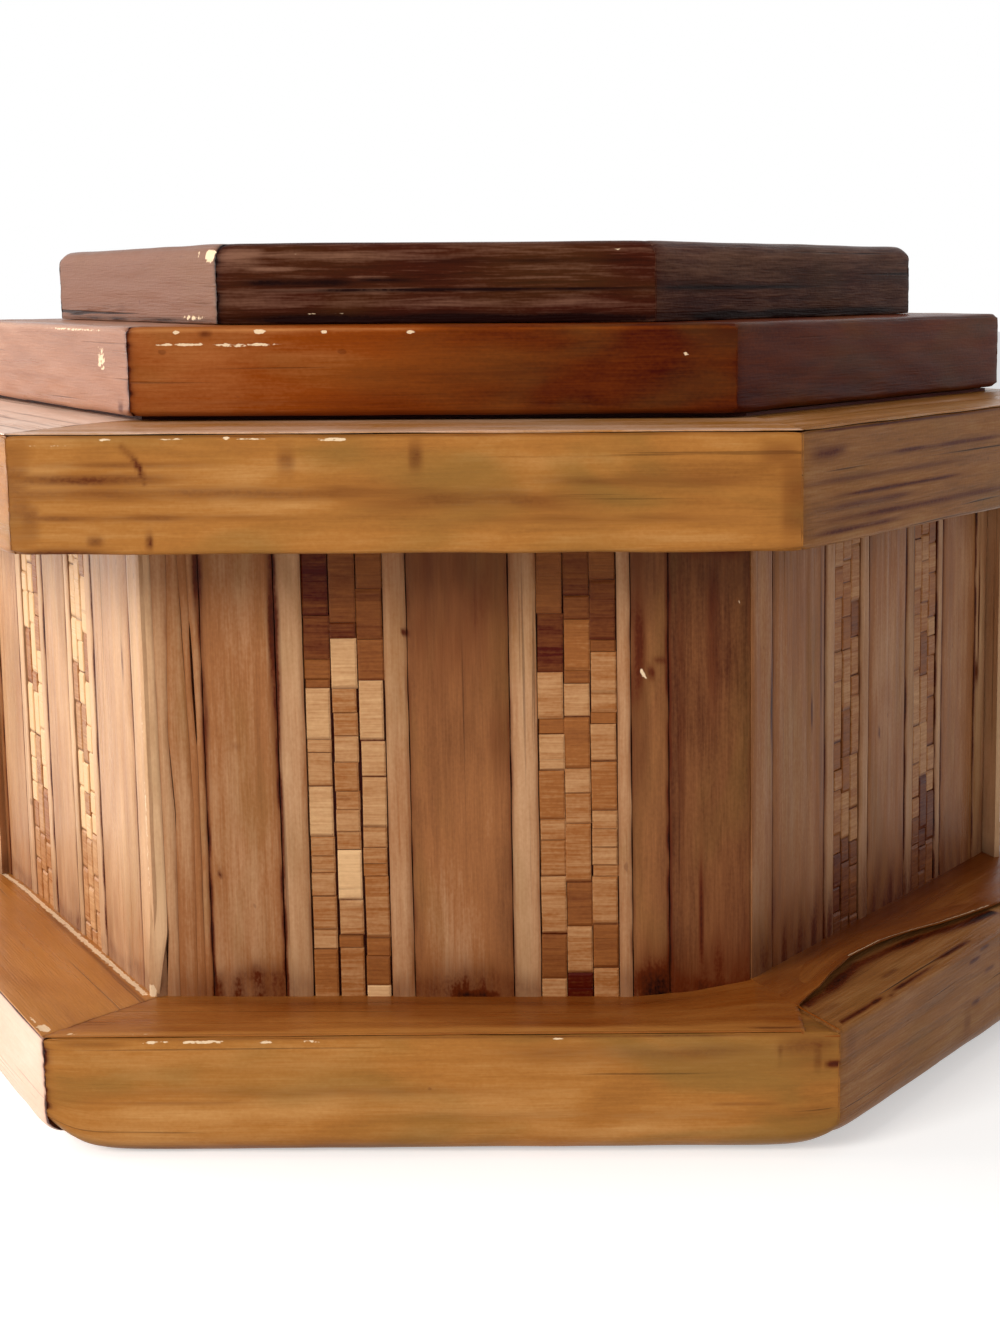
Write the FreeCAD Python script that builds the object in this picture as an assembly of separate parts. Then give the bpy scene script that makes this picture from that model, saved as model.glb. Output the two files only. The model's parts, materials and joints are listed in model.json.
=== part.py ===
"""Six-sided keepsake box clad in split bamboo, with a two-step lid that lifts off.

Frame: millimetres, +Z up, origin at the bottom centre, the front wall faces -Y.
Corners of every hexagon run FL, FR, RE, BR, BL, LE, so side i lies between corners i and i + 1.
"""
import FreeCAD, Part
import math
import os

# Names of the six sides, anticlockwise from above, starting at the wall that faces -Y
SIDES = ["front", "front_right", "back_right", "back", "back_left", "front_left"]
SIN60 = math.sin(math.radians(60))
SIDE_PER_OFFSET = 2 / math.sqrt(3)  # a hexagon's side grows by this for each mm of offset

# Walls
wall_side = 95.0          # one side of the hexagon, at the face of the bamboo strips
clad_thickness = 1.4      # split bamboo strips and bricks
core_thickness = 3.0      # plywood behind them
wall_gap_under_lid = 0.2  # play between the top of the walls and the lid

# Base moulding
base_side = 120.6
base_height = 20.0
base_round = 4.5          # worn lower outer edge
edge_wear = 0.8           # slight rounding of the other outer edges
veneer_thickness = 0.8    # bamboo skin on top of the base and rim mouldings
board_thickness = 4.0
board_recess = 1.5        # the bottom board stands clear of the table

# Rim moulding: it stands out further on the left than on the right
rim_side = 116.8
rim_shift_x = rim_side - base_side  # its left end is in line with the base's
rim_bottom = 92.0
rim_top = 110.1

# Lid
lid_bottom = 111.5
lid_shift_x = -0.9
step_height = 13.7        # lower tier
crown_height = 12.4       # upper tier
step_front, step_diagonal = 92.4, 100.9
crown_front, crown_diagonal = 67.8, 92.0
step_rail_width = 22.0
crown_rail_width = 16.0
crown_round = 2.2
lid_board_thickness = 3.0
top_panel_bottom = 130.5
top_panel_thickness = 3.0
top_slat_thickness = 2.4
top_slat_count = 16
top_slat_gap = 0.25
lip_clearance = 0.8
lip_thickness = 3.0
lip_depth = 8.0

# Strip edges along a wall, as shares of its width, left to right seen from outside.
# Each pair of tile bands is framed by narrow laths, with wide strips between and at the ends.
FRONT_EDGES = [0.0, 0.085, 0.210, 0.257, 0.392, 0.432, 0.602, 0.649, 0.782, 0.806, 0.869, 1.0]
FRONT_TILED = (3, 7)
SIDE_EDGES = [0.0, 0.070, 0.266, 0.305, 0.409, 0.446, 0.605, 0.645, 0.746, 0.774, 0.935, 1.0]
SIDE_TILED = (3, 7)
strip_gap = 0.25
brick_columns = 3
brick_height = 8.0
brick_gap = 0.2


def hexagon(front, diagonal, shift_x=0.0):
    """Corners of a six-sided outline with 120 degree corners, as (x, y)."""
    half, depth = front / 2, diagonal * SIN60
    end = (front + diagonal) / 2
    corners = [(-half, -depth), (half, -depth), (end, 0), (half, depth), (-half, depth), (-end, 0)]
    return [(x + shift_x, y) for x, y in corners]


def offset_hexagon(front, diagonal, inward, shift_x=0.0):
    """The same outline, moved inward by a distance."""
    less = inward * SIDE_PER_OFFSET
    return hexagon(front - less, diagonal - less, shift_x)


def prism(outline, bottom, top):
    """A straight solid over a flat outline."""
    points = [FreeCAD.Vector(x, y, bottom) for x, y in outline]
    face = Part.Face(Part.makePolygon(points + points[:1]))
    return face.extrude(FreeCAD.Vector(0, 0, top - bottom))


def mitred_ring(outer, inner, bottom, top):
    """Six straight lengths between two outlines, mitred at the corners."""
    lengths = []
    for i in range(6):
        j = (i + 1) % 6
        lengths.append(prism([outer[i], outer[j], inner[j], inner[i]], bottom, top))
    return lengths


def round_outer_edge(solid, start, end, height, radius):
    """Fillets the outer edge that runs between two corners at a height."""
    middle = FreeCAD.Vector((start[0] + end[0]) / 2, (start[1] + end[1]) / 2, height)
    edge = min(solid.Edges, key=lambda e: (e.CenterOfMass - middle).Length)
    return solid.makeFillet(radius, [edge])


def rounded_ring(outer, inner, bottom, top, bottom_radius, top_radius):
    """A mitred ring whose outer edges are rounded; a radius of zero leaves an edge sharp."""
    rails = []
    for i, rail in enumerate(mitred_ring(outer, inner, bottom, top)):
        start, end = outer[i], outer[(i + 1) % 6]
        if bottom_radius:
            rail = round_outer_edge(rail, start, end, bottom, bottom_radius)
        if top_radius:
            rail = round_outer_edge(rail, start, end, top, top_radius)
        rails.append(rail)
    return rails


def turned_to_side(shapes, i):
    """A group built for the front wall, turned round to wall i."""
    group = Part.makeCompound(shapes)
    group.rotate(FreeCAD.Vector(0, 0, 0), FreeCAD.Vector(0, 0, 1), 60 * i)
    return group


def wall_pattern(i):
    """Strip edges and tiled bands of wall i: front and back match, the four others match."""
    return (FRONT_EDGES, FRONT_TILED) if i in (0, 3) else (SIDE_EDGES, SIDE_TILED)


def clad_box(left, right, bottom, top):
    """One strip or brick on the front wall, between two places along it."""
    face = wall_side * SIN60
    size = (right - left, clad_thickness, top - bottom)
    return Part.makeBox(*size, FreeCAD.Vector(left, -face, bottom))


def wall_strips(edges, tiled):
    """Upright bamboo strips of one wall, without the tiled bands."""
    strips = []
    for k in range(len(edges) - 1):
        if k in tiled:
            continue
        left, right = [core_side * (share - 0.5) for share in edges[k:k + 2]]
        strips.append(clad_box(left + strip_gap / 2, right - strip_gap / 2, base_height, rim_bottom))
    return strips


def wall_bricks(edges, tiled):
    """Bricks of one wall: columns of short blocks, each column half a brick off its neighbour."""
    bricks = []
    for k in tiled:
        left, right = [core_side * (share - 0.5) for share in edges[k:k + 2]]
        width = (right - left) / brick_columns
        for column in range(brick_columns):
            x0 = left + column * width + brick_gap / 2
            x1 = x0 + width - brick_gap
            joint = base_height
            step = brick_height / 2 if column % 2 else brick_height
            while joint < rim_bottom:
                top = min(joint + step, rim_bottom)
                bricks.append(clad_box(x0, x1, joint + brick_gap / 2, top - brick_gap / 2))
                joint, step = top, brick_height
    return bricks


def top_slats(outline, bottom, top):
    """Slats laid side by side across the lid, cut to its outline."""
    ys = [y for _, y in outline]
    depth = max(ys) - min(ys)
    pitch = depth / top_slat_count
    blank = prism(outline, bottom, top)
    slats = []
    for k in range(top_slat_count):
        y = min(ys) + k * pitch + top_slat_gap / 2
        corner = FreeCAD.Vector(-base_side, y, bottom)
        cutter = Part.makeBox(2 * base_side, pitch - top_slat_gap, top - bottom, corner)
        slats.append(blank.common(cutter).Solids[0])
    return slats


# Outlines shared by several pieces
core_side = wall_side - SIDE_PER_OFFSET * clad_thickness
core_outer = hexagon(core_side, core_side)
core_inner = offset_hexagon(core_side, core_side, core_thickness)
base_outer = hexagon(base_side, base_side)
rim_outer = hexagon(rim_side, rim_side, rim_shift_x)
step_outer = hexagon(step_front, step_diagonal, lid_shift_x)
step_inner = offset_hexagon(step_front, step_diagonal, step_rail_width, lid_shift_x)
crown_outer = hexagon(crown_front, crown_diagonal, lid_shift_x)
crown_inner = offset_hexagon(crown_front, crown_diagonal, crown_rail_width, lid_shift_x)
lip_outer = offset_hexagon(core_side, core_side, core_thickness + lip_clearance)
lip_inner = offset_hexagon(core_side, core_side, core_thickness + lip_clearance + lip_thickness)

# Heights that follow from the driving ones
core_bottom = board_recess + board_thickness
core_top = lid_bottom - wall_gap_under_lid
step_top = lid_bottom + step_height
crown_top = step_top + crown_height
top_panel_top = top_panel_bottom + top_panel_thickness

nodes = {}


def add_ring(name, pieces):
    """Stores the six lengths of a ring under their sides' names."""
    for side, piece in zip(SIDES, pieces):
        nodes[f"{name}_{side}"] = piece


# Box: bottom board, walls, base and rim mouldings
nodes["base_board"] = prism(core_outer, board_recess, core_bottom)
base_rail_top = base_height - veneer_thickness
base_rails = rounded_ring(base_outer, core_outer, 0.0, base_rail_top, base_round, 0.0)
add_ring("base_rail", base_rails)
base_veneers = mitred_ring(base_outer, core_outer, base_rail_top, base_height)
nodes["base_top_veneers"] = Part.makeCompound(base_veneers)
add_ring("wall_core", mitred_ring(core_outer, core_inner, core_bottom, core_top))
rim_rail_top = rim_top - veneer_thickness
add_ring("rim_rail", rounded_ring(rim_outer, core_outer, rim_bottom, rim_rail_top, edge_wear, 0.0))
rim_veneers = mitred_ring(rim_outer, core_outer, rim_rail_top, rim_top)
nodes["rim_top_veneers"] = Part.makeCompound(rim_veneers)
for i, side in enumerate(SIDES):
    pattern = wall_pattern(i)
    nodes[f"wall_slats_{side}"] = turned_to_side(wall_strips(*pattern), i)
    nodes[f"wall_tiles_{side}"] = turned_to_side(wall_bricks(*pattern), i)

# Lid: lower step, upper crown, boards, slatted top and the lip that drops inside the walls
step_rails = rounded_ring(step_outer, step_inner, lid_bottom, step_top, edge_wear, edge_wear)
add_ring("lid_lower_rail", step_rails)
crown_rails = rounded_ring(crown_outer, crown_inner, step_top, crown_top, 0.0, crown_round)
add_ring("lid_upper_rail", crown_rails)
nodes["lid_board"] = prism(step_inner, lid_bottom, lid_bottom + lid_board_thickness)
nodes["lid_top_panel"] = prism(crown_inner, top_panel_bottom, top_panel_top)
slat_top = top_panel_top + top_slat_thickness
nodes["lid_top_slats"] = Part.makeCompound(top_slats(crown_inner, top_panel_top, slat_top))
add_ring("lid_lip", mitred_ring(lip_outer, lip_inner, lid_bottom - lip_depth, lid_bottom))

os.makedirs("parts", exist_ok=True)
for name, shape in nodes.items():
    shape.exportStep(f"parts/{name}.step")
print(len(nodes), "pieces, height", round(crown_top, 1))
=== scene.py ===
"""Looks of a six-sided keepsake box clad in split bamboo, with a two-step lid that lifts off.

Everything is in metres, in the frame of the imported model: +Z up, the front wall faces -Y.
Sides run anticlockwise from above, starting with the front; side i lies between corners i and i + 1.
"""
import bpy
import json
import math
import numpy as np
from bpy.props import FloatProperty, FloatVectorProperty, IntProperty, PointerProperty
from mathutils import Matrix, Vector


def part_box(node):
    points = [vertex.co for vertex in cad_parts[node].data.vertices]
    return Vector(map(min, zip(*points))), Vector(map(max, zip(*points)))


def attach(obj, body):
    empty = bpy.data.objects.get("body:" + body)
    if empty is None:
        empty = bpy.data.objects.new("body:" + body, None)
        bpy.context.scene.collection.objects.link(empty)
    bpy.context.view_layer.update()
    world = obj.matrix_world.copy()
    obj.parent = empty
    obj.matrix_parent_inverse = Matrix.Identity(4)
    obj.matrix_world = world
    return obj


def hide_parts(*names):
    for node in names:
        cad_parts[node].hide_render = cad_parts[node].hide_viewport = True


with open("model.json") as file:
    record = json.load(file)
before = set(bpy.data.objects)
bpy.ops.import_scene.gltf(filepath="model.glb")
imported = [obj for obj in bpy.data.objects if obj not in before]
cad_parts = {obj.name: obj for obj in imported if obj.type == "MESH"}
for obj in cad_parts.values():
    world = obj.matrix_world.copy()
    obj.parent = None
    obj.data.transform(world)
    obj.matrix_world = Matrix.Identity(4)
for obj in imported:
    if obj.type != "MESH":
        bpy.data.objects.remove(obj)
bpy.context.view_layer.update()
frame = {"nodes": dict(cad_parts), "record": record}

bl_info = {
    "name": "Split bamboo keepsake box",
    "version": (1, 0, 0),
    "blender": (4, 5, 0),
    "location": "3D View > Sidebar > Box",
    "description": "Dresses the packed box: mouldings, bamboo cladding, bricks, lid and a plain studio",
    "category": "Object",
}

SIDES = ("front", "front_right", "back_right", "back", "back_left", "front_left")
MM = 0.001
SIN60 = math.sin(math.radians(60))
PHOTO_LONG_SIDE = 1330


# Settings

def from_srgb(*levels):
    """A colour as read off a screen, 0 to 255, turned into the linear one that Blender mixes."""
    shares = [level / 255 for level in levels]
    return tuple(s / 12.92 if s <= 0.04045 else ((s + 0.055) / 1.055) ** 2.4 for s in shares)


def colour(name, description, *levels):
    return FloatVectorProperty(name=name, description=description, size=3, min=0, max=1,
                               subtype="COLOR", default=from_srgb(*levels))


def length(name, description, millimetres):
    return FloatProperty(name=name, description=description, min=0, default=millimetres * MM,
                         subtype="DISTANCE", unit="LENGTH", precision=5)


class BoxColours(bpy.types.PropertyGroup):
    """Colours of the lacquered bamboo, from its darkest streaks to its palest fibres."""
    honey_dark: colour("Honey, dark", "Streaks in the base and rim mouldings", 104, 58, 20)
    honey_mid: colour("Honey, middle", "Body of the base and rim mouldings", 168, 110, 50)
    honey_pale: colour("Honey, pale", "Palest fibres of the base and rim mouldings", 208, 158, 98)
    # The worn colours are a greyer, darker copy of the honey bamboo for the right-facing lengths: weathered
    # and bare wood, with painted shade of the side turned from the lamps
    worn_dark: colour("Worn, dark", "Cracks in the grey-brown lengths on the right", 66, 36, 16)
    worn_mid: colour("Worn, middle", "Body of the lengths on the right", 144, 93, 47)
    worn_pale: colour("Worn, pale", "Palest fibres of the lengths on the right", 184, 142, 96)
    # The rosy colours are the honey bamboo of the base's left-facing length, paled with painted sheen of the
    # light from the left
    rosy_dark: colour("Rosy, dark", "Streaks in the pale lengths on the left", 184, 132, 102)
    rosy_mid: colour("Rosy, middle", "Body of the pale lengths", 220, 176, 150)
    rosy_pale: colour("Rosy, pale", "Palest fibres of the pale lengths", 242, 212, 194)
    amber_dark: colour("Amber, dark", "Red-brown end of the lid's lower step", 60, 9, 1)
    amber_mid: colour("Amber, middle", "Body of the lid's lower step", 132, 60, 10)
    amber_pale: colour("Amber, pale", "Palest fibres of the lid's lower step", 178, 112, 62)
    # The mauve colours are the amber of the lid's lower step on its left-facing length, paled with painted
    # sheen of the light from the left
    mauve_dark: colour("Mauve, dark", "Streaks in the pale length of the lid's lower step", 118, 74, 54)
    mauve_mid: colour("Mauve, middle", "Body of that length", 160, 113, 88)
    mauve_pale: colour("Mauve, pale", "Palest fibres of that length", 200, 156, 128)
    cocoa_dark: colour("Cocoa, dark", "Streaks in the lid's upper step", 18, 5, 3)
    cocoa_mid: colour("Cocoa, middle", "Body of the lid's upper step", 62, 22, 9)
    # cocoa_pale also gives the painted sheen of the upper step's left-facing length
    cocoa_pale: colour("Cocoa, pale", "Rubbed fibres of the lid's upper step", 127, 88, 70)
    veneer_dark: colour("Skin, dark", "Dark streaks of the skin on the base", 66, 26, 8)
    veneer_mid: colour("Skin, middle", "Body of the skin on the base", 128, 66, 18)
    # veneer_pale also gives the painted highlight along the front edge of the base's skin
    veneer_pale: colour("Skin, pale", "Rubbed front of the skin on the base", 178, 118, 56)
    strip_dark: colour("Strip, dark", "Darkest wall strips", 66, 26, 8)
    strip_mid: colour("Strip, middle", "Most wall strips", 152, 98, 58)
    strip_pale: colour("Strip, pale", "Palest laths", 212, 172, 132)
    brick_dark: colour("Brick, dark", "Darkest bricks", 70, 12, 2)
    brick_mid: colour("Brick, middle", "Most bricks", 150, 92, 46)
    brick_pale: colour("Brick, pale", "Palest bricks", 220, 178, 130)
    rim_skin_dark: colour("Rim skin, dark", "Streaks in the skin on the rim", 104, 58, 20)
    rim_skin_mid: colour("Rim skin, middle", "Body of the skin on the rim", 168, 110, 50)
    # rim_skin_pale also gives the painted highlight along the front edge of the rim's skin
    rim_skin_pale: colour("Rim skin, pale", "Pale left part of the skin on the rim", 242, 212, 194)
    patina: colour("Patina", "Olive patches in the lacquer", 120, 94, 44)
    # The stain colour also gives painted shade and shadow: under the rim, under the curl of the peeled skin
    # and along the bricks' lower edges
    stain: colour("Stain", "Old stain along the foot of the walls and in the joints", 84, 32, 8)
    # Soot also gives the deepest painted shadow, where a mark is stronger than 1
    soot_and_shadow: colour("Soot", "Open joints and burnt-in dirt", 26, 6, 4)
    bare: colour("Bare wood", "Chips where the lacquer is gone", 232, 204, 168)
    ply_mid: colour("Plywood", "Boards inside the box and the lid", 164, 124, 84)
    ply_dark: colour("Plywood, dark", "Grain of the boards", 122, 84, 50)


class BoxSizes(bpy.types.PropertyGroup):
    """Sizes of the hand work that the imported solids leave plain."""
    skin: length("Skin", "Thickness of the skins on the base and the rim", 0.4)
    base_round: length("Base round", "Worn lower edge of the base", 4.5)
    edge_round: length("Edge round", "Worn edges of the other mouldings", 0.9)
    crown_round: length("Crown round", "Rounded top of the lid", 2.2)
    mitre_gap: length("Mitre gap", "Half the open line at a mitre", 0.16)
    ripple: length("Ripple", "Unevenness of the mouldings' faces", 0.16)
    strip_crown: length("Strip crown", "How far the middle of a strip stands out past its edges", 0.18)
    strip_wobble: length("Strip wobble", "Unevenness of a strip's edges", 0.10)
    strip_spread: length("Strip spread", "How much wider a strip is than its packed solid, each side", 0.09)
    brick_relief: length("Brick relief", "How unevenly the bricks were set, in and out", 0.24)
    brick_play: length("Brick play", "How unevenly the bricks were set, sideways", 0.22)
    rim_rise: length("Rim rise", "How far the skin on the rim slopes up towards the lid", 0.7)
    foot: length("Stained foot", "Height of the stain above the base", 4.0)


class Studio(bpy.types.PropertyGroup):
    """Camera, lamps and floor."""
    place: FloatVectorProperty(name="Camera", description="Where the camera stands", size=3,
                               subtype="TRANSLATION", unit="LENGTH", default=(0.0391, -0.4350, 0.1306))
    pitch: FloatProperty(name="Pitch", description="How far the camera looks down", subtype="ANGLE",
                         unit="ROTATION", default=0.1639)
    yaw: FloatProperty(name="Yaw", description="How far the camera looks to the left", subtype="ANGLE",
                       unit="ROTATION", default=0.0168)
    roll: FloatProperty(name="Roll", description="How far the camera leans", subtype="ANGLE",
                        unit="ROTATION", default=-0.0068)
    focal_pixels: FloatProperty(name="Focal length", description="In pixels of the photograph",
                                default=2289.9)
    aside_pixels: FloatProperty(name="Aside", default=160.0,
                                description="How far right of the middle the camera looks, in pixels")
    ambient: FloatProperty(name="Ambient", description="Level of the light from all round", default=0.30)
    key: FloatProperty(name="Key", description="Soft lamp from the left and front", subtype="POWER",
                       unit="POWER", default=21.0)
    window: FloatProperty(name="Window", description="Soft light from the left", subtype="POWER",
                          unit="POWER", default=15.0)
    fill: FloatProperty(name="Fill", description="Soft lamp from the right and front", subtype="POWER",
                        unit="POWER", default=4.0)
    seed: IntProperty(name="Seed", description="Fixes everything that is uneven", default=7)


def colours():
    return bpy.context.scene.box_colours


def sizes():
    return bpy.context.scene.box_sizes


def studio():
    return bpy.context.scene.box_studio


# Node trees

class Nodes:
    """Adds nodes to a tree, feeding each input with a value or with another node's output."""

    def __init__(self, tree):
        self.tree = tree

    def add(self, kind, inputs=None, **settings):
        made = self.tree.nodes.new(kind)
        for name, value in settings.items():
            setattr(made, name, value)
        for key, value in (inputs or {}).items():
            if isinstance(value, bpy.types.NodeSocket):
                self.tree.links.new(value, made.inputs[key])
            else:
                made.inputs[key].default_value = value
        return made

    def sum(self, operation, a, b=0.0, c=0.0):
        return self.add("ShaderNodeMath", {0: a, 1: b, 2: c}, operation=operation).outputs[0]

    def vector(self, operation, a, b=(0.0, 0.0, 0.0)):
        made = self.add("ShaderNodeVectorMath", {0: a, 1: b}, operation=operation)
        return made.outputs["Value" if operation == "DOT_PRODUCT" else "Vector"]

    def attribute(self, name, output="Fac"):
        return self.add("ShaderNodeAttribute", attribute_name=name).outputs[output]

    def noise(self, place, stretch, piece, detail=2.0, distortion=0.0):
        """Noise with so many waves a metre along each axis, different for every piece."""
        inputs = {"Vector": self.vector("MULTIPLY", place, stretch), "W": piece, "Scale": 1.0,
                  "Detail": detail, "Distortion": distortion}
        return self.add("ShaderNodeTexNoise", inputs, noise_dimensions="4D").outputs["Fac"]

    def between(self, value, low, high, to_low=0.0, to_high=1.0):
        """A smooth step from one level to another."""
        inputs = {"Value": value, "From Min": low, "From Max": high, "To Min": to_low, "To Max": to_high}
        return self.add("ShaderNodeMapRange", inputs, interpolation_type="SMOOTHSTEP").outputs[0]

    def blend(self, factor, a, b):
        inputs = {0: factor, 6: a, 7: b}
        return self.add("ShaderNodeMix", inputs, data_type="RGBA", clamp_factor=True).outputs[2]

    def ramp(self, factor, stops):
        made = self.add("ShaderNodeValToRGB", {0: factor})
        elements = made.color_ramp.elements
        while len(elements) < len(stops):
            elements.new(0.5)
        for element, (place, tone) in zip(elements, stops):
            element.position = place
            element.color = (*tone, 1)
        return made.outputs["Color"]


LACQUER_ROUGHNESS = (0.24, 0.42)  # of the lacquer between its streaks and on them


def new_material(name):
    material = bpy.data.materials.new(name)
    material.use_nodes = True
    material.node_tree.nodes.clear()
    return material, Nodes(material.node_tree)


def finish_surface(nodes, base, roughness, height, relief, gloss):
    """Ends a finish: colour, roughness and relief from its nodes, the rest set on the shader."""
    bump = nodes.add("ShaderNodeBump", {"Height": height, "Strength": 0.6, "Distance": relief})
    inputs = {"Base Color": base, "Roughness": roughness, "Normal": bump.outputs[0],
              "Specular IOR Level": gloss}
    shader = nodes.add("ShaderNodeBsdfPrincipled", inputs)
    nodes.add("ShaderNodeOutputMaterial", {"Surface": shader.outputs[0]})


def bamboo(name, wood, run, streaks=0.3, clouds=0.5, fibres=0.25, patina=0.15, cracks=0.4,
           specks=0.4, dirt_and_shade="stain", gloss=0.08, relief=0.10 * MM):
    """Lacquered bamboo whose fibres run along one axis of the piece's own grain coordinates.

    Wood names its three colours and a further argument the colour of its stains and painted shade; the
    strengths say how much each kind of unevenness shows.
    """
    c = colours()
    dark, middle, pale = [getattr(c, f"{wood}_{part}") for part in ("dark", "mid", "pale")]
    material, nodes = new_material(name)
    place = nodes.attribute("grain", "Vector")
    piece = nodes.sum("MULTIPLY", nodes.attribute("piece"), 31.0)

    def wood_noise(along, across, other, detail, distortion=0.0):
        stretch = tuple(along if axis == run else across for axis in range(3))
        return nodes.noise(place, stretch, nodes.sum("ADD", piece, other), detail, distortion)

    cloud = wood_noise(38, 130, 0.0, 3.0, 0.5)
    streak = wood_noise(13, 560, 3.7, 4.0)
    fibre = wood_noise(160, 3000, 8.1, 2.0)
    grit = wood_noise(1500, 2200, 12.6, 1.0)
    tone = nodes.attribute("shade")
    for noise, strength in ((cloud, clouds), (streak, streaks), (fibre, fibres), (grit, 0.16)):
        tone = nodes.sum("MULTIPLY_ADD", nodes.sum("SUBTRACT", noise, 0.5), strength, tone)
    base = nodes.ramp(tone, [(0.0, dark), (0.5, middle), (1.0, pale)])
    olive = nodes.between(wood_noise(30, 90, 17.2, 2.0, 0.8), 0.45, 0.68, 0.0, patina)
    base = nodes.blend(olive, base, (*c.patina, 1))

    crack = nodes.between(wood_noise(9, 950, 15.3, 2.0, 0.2), 0.67, 0.72)
    base = nodes.blend(nodes.sum("MULTIPLY", crack, cracks), base, (*c.soot_and_shadow, 1))
    speck = nodes.between(wood_noise(260, 520, 21.9, 1.0), 0.76, 0.80)
    base = nodes.blend(nodes.sum("MULTIPLY", speck, specks), base, (*c.stain, 1))

    # The stain attribute mixes in the stain colour, and past 1 soot: real stains, dirt and dark joints, and
    # painted shade and shadow
    patchy = nodes.sum("MULTIPLY", nodes.attribute("stain"), nodes.between(streak, 0.3, 0.7, 0.75, 1.15))
    patchy = nodes.sum("MULTIPLY", patchy, nodes.between(grit, 0.3, 0.7, 0.85, 1.1))
    base = nodes.blend(patchy, base, (*getattr(c, dirt_and_shade), 1))
    base = nodes.blend(nodes.sum("SUBTRACT", patchy, 1.0), base, (*c.soot_and_shadow, 1))
    chipped = nodes.sum("MULTIPLY_ADD", nodes.sum("SUBTRACT", grit, 0.5), 0.8, nodes.attribute("bare"))
    chip = nodes.between(chipped, 0.40, 0.60)
    base = nodes.blend(chip, base, (*c.bare, 1))

    height = nodes.sum("MULTIPLY_ADD", streak, 0.6, nodes.sum("MULTIPLY_ADD", grit, 0.3, fibre))
    height = nodes.sum("MULTIPLY_ADD", crack, -0.9, height)
    height = nodes.sum("MULTIPLY_ADD", chip, -0.6, height)
    rough = nodes.between(streak, 0.25, 0.75, *LACQUER_ROUGHNESS)
    finish_surface(nodes, base, rough, height, relief, gloss)
    return material


def plywood(name):
    """Bare boards inside the box; the faces that the strips are glued to are dark with glue, which also
    paints shade into the gaps between the strips.
    """
    material, nodes = new_material(name)
    place = nodes.add("ShaderNodeTexCoord").outputs["Object"]
    normal = nodes.add("ShaderNodeNewGeometry").outputs["Normal"]
    outward = nodes.vector("DOT_PRODUCT", nodes.vector("MULTIPLY", place, (1, 1, 0)), normal)
    grain = nodes.noise(place, (30, 30, 700), 4.0, 4.0, 0.4)
    figure = nodes.noise(place, (60, 60, 60), 9.0, 2.0, 1.5)
    tone = nodes.sum("MULTIPLY_ADD", figure, 0.25, nodes.sum("MULTIPLY", grain, 0.75))
    mid, dark = colours().ply_mid, colours().ply_dark
    base = nodes.ramp(tone, [(0.3, dark), (0.6, mid), (1.0, mid)])
    # Glue and painted shade: the outer faces behind the strips get the darkest brick colour
    glued_and_shaded = nodes.between(outward, 0.01, 0.03)
    base = nodes.blend(glued_and_shaded, base, (*colours().brick_dark, 1))
    finish_surface(nodes, base, nodes.between(grain, 0.3, 0.7, 0.6, 0.8), grain, 0.1 * MM, 0.3)
    return material


# Finishes of the wood: the name of its colours, the axis its fibres run along, and how uneven it is
LOOKS = {
    "honey_bamboo_look": ("honey", 0, {"streaks": 0.42, "clouds": 0.65, "patina": 0.5}),
    "worn_bamboo_look": ("worn", 0, {"streaks": 0.5, "fibres": 0.45, "cracks": 0.8, "gloss": 0.05,
                                     "relief": 0.2 * MM}),
    "rosy_bamboo_look": ("rosy", 0, {"patina": 0.0}),
    "amber_skin_look": ("veneer", 0, {"clouds": 0.6, "patina": 0.0}),
    "rim_skin_look": ("rim_skin", 0, {"patina": 0.2, "cracks": 0.6}),
    "amber_bamboo_look": ("amber", 0, {"gloss": 0.04}),
    "mauve_bamboo_look": ("mauve", 0, {"patina": 0.0, "cracks": 0.6}),
    "cocoa_bamboo_look": ("cocoa", 0, {"streaks": 0.9, "fibres": 0.7, "patina": 0.08, "cracks": 0.9,
                                       "dirt_and_shade": "soot_and_shadow", "gloss": 0.03, "relief": 0.2 * MM}),
    "strip_bamboo_look": ("strip", 2, {"streaks": 0.35, "patina": 0.2}),
    "top_bamboo_look": ("strip", 0, {"streaks": 0.5}),
    "brick_bamboo_look": ("brick", 0, {"clouds": 0.25, "fibres": 0.4, "patina": 0.0, "cracks": 0.2,
                                       "specks": 0.2}),
}


def finish(name):
    """The finish of that name, made the first time it is asked for."""
    made = bpy.data.materials.get(name)
    if made:
        return made
    if name not in LOOKS:
        return plywood(name)
    wood, run, unevenness = LOOKS[name]
    return bamboo(name, wood, run, **unevenness)


# Meshes

def waves(seed, x, y, x_length, y_length):
    """Smooth unevenness between 0 and 1 over two coordinates, the same for the same seed."""
    source = np.random.default_rng(seed)
    total = np.zeros(np.broadcast(x, y).shape)
    count = 10
    for _ in range(count):
        angle, phase = source.uniform(0, 2 * math.pi, 2)
        scale = source.uniform(0.7, 1.8)
        total += np.sin(scale * 2 * math.pi * (x * math.cos(angle) / x_length
                                               + y * math.sin(angle) / y_length) + phase)
    return np.clip(0.5 + total / math.sqrt(count) / 3, 0, 1)


def loft_faces(rows, around, first=0):
    """Faces of a closed form whose rows each go once round it, with both ends capped."""
    faces = []
    for a in range(rows - 1):
        for k in range(around):
            here, up = first + a * around, first + (a + 1) * around
            after = (k + 1) % around
            faces.append((here + k, up + k, up + after, here + after))
    faces.append(tuple(first + k for k in range(around)))
    last = first + (rows - 1) * around
    faces.append(tuple(last + k for k in reversed(range(around))))
    return faces


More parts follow.
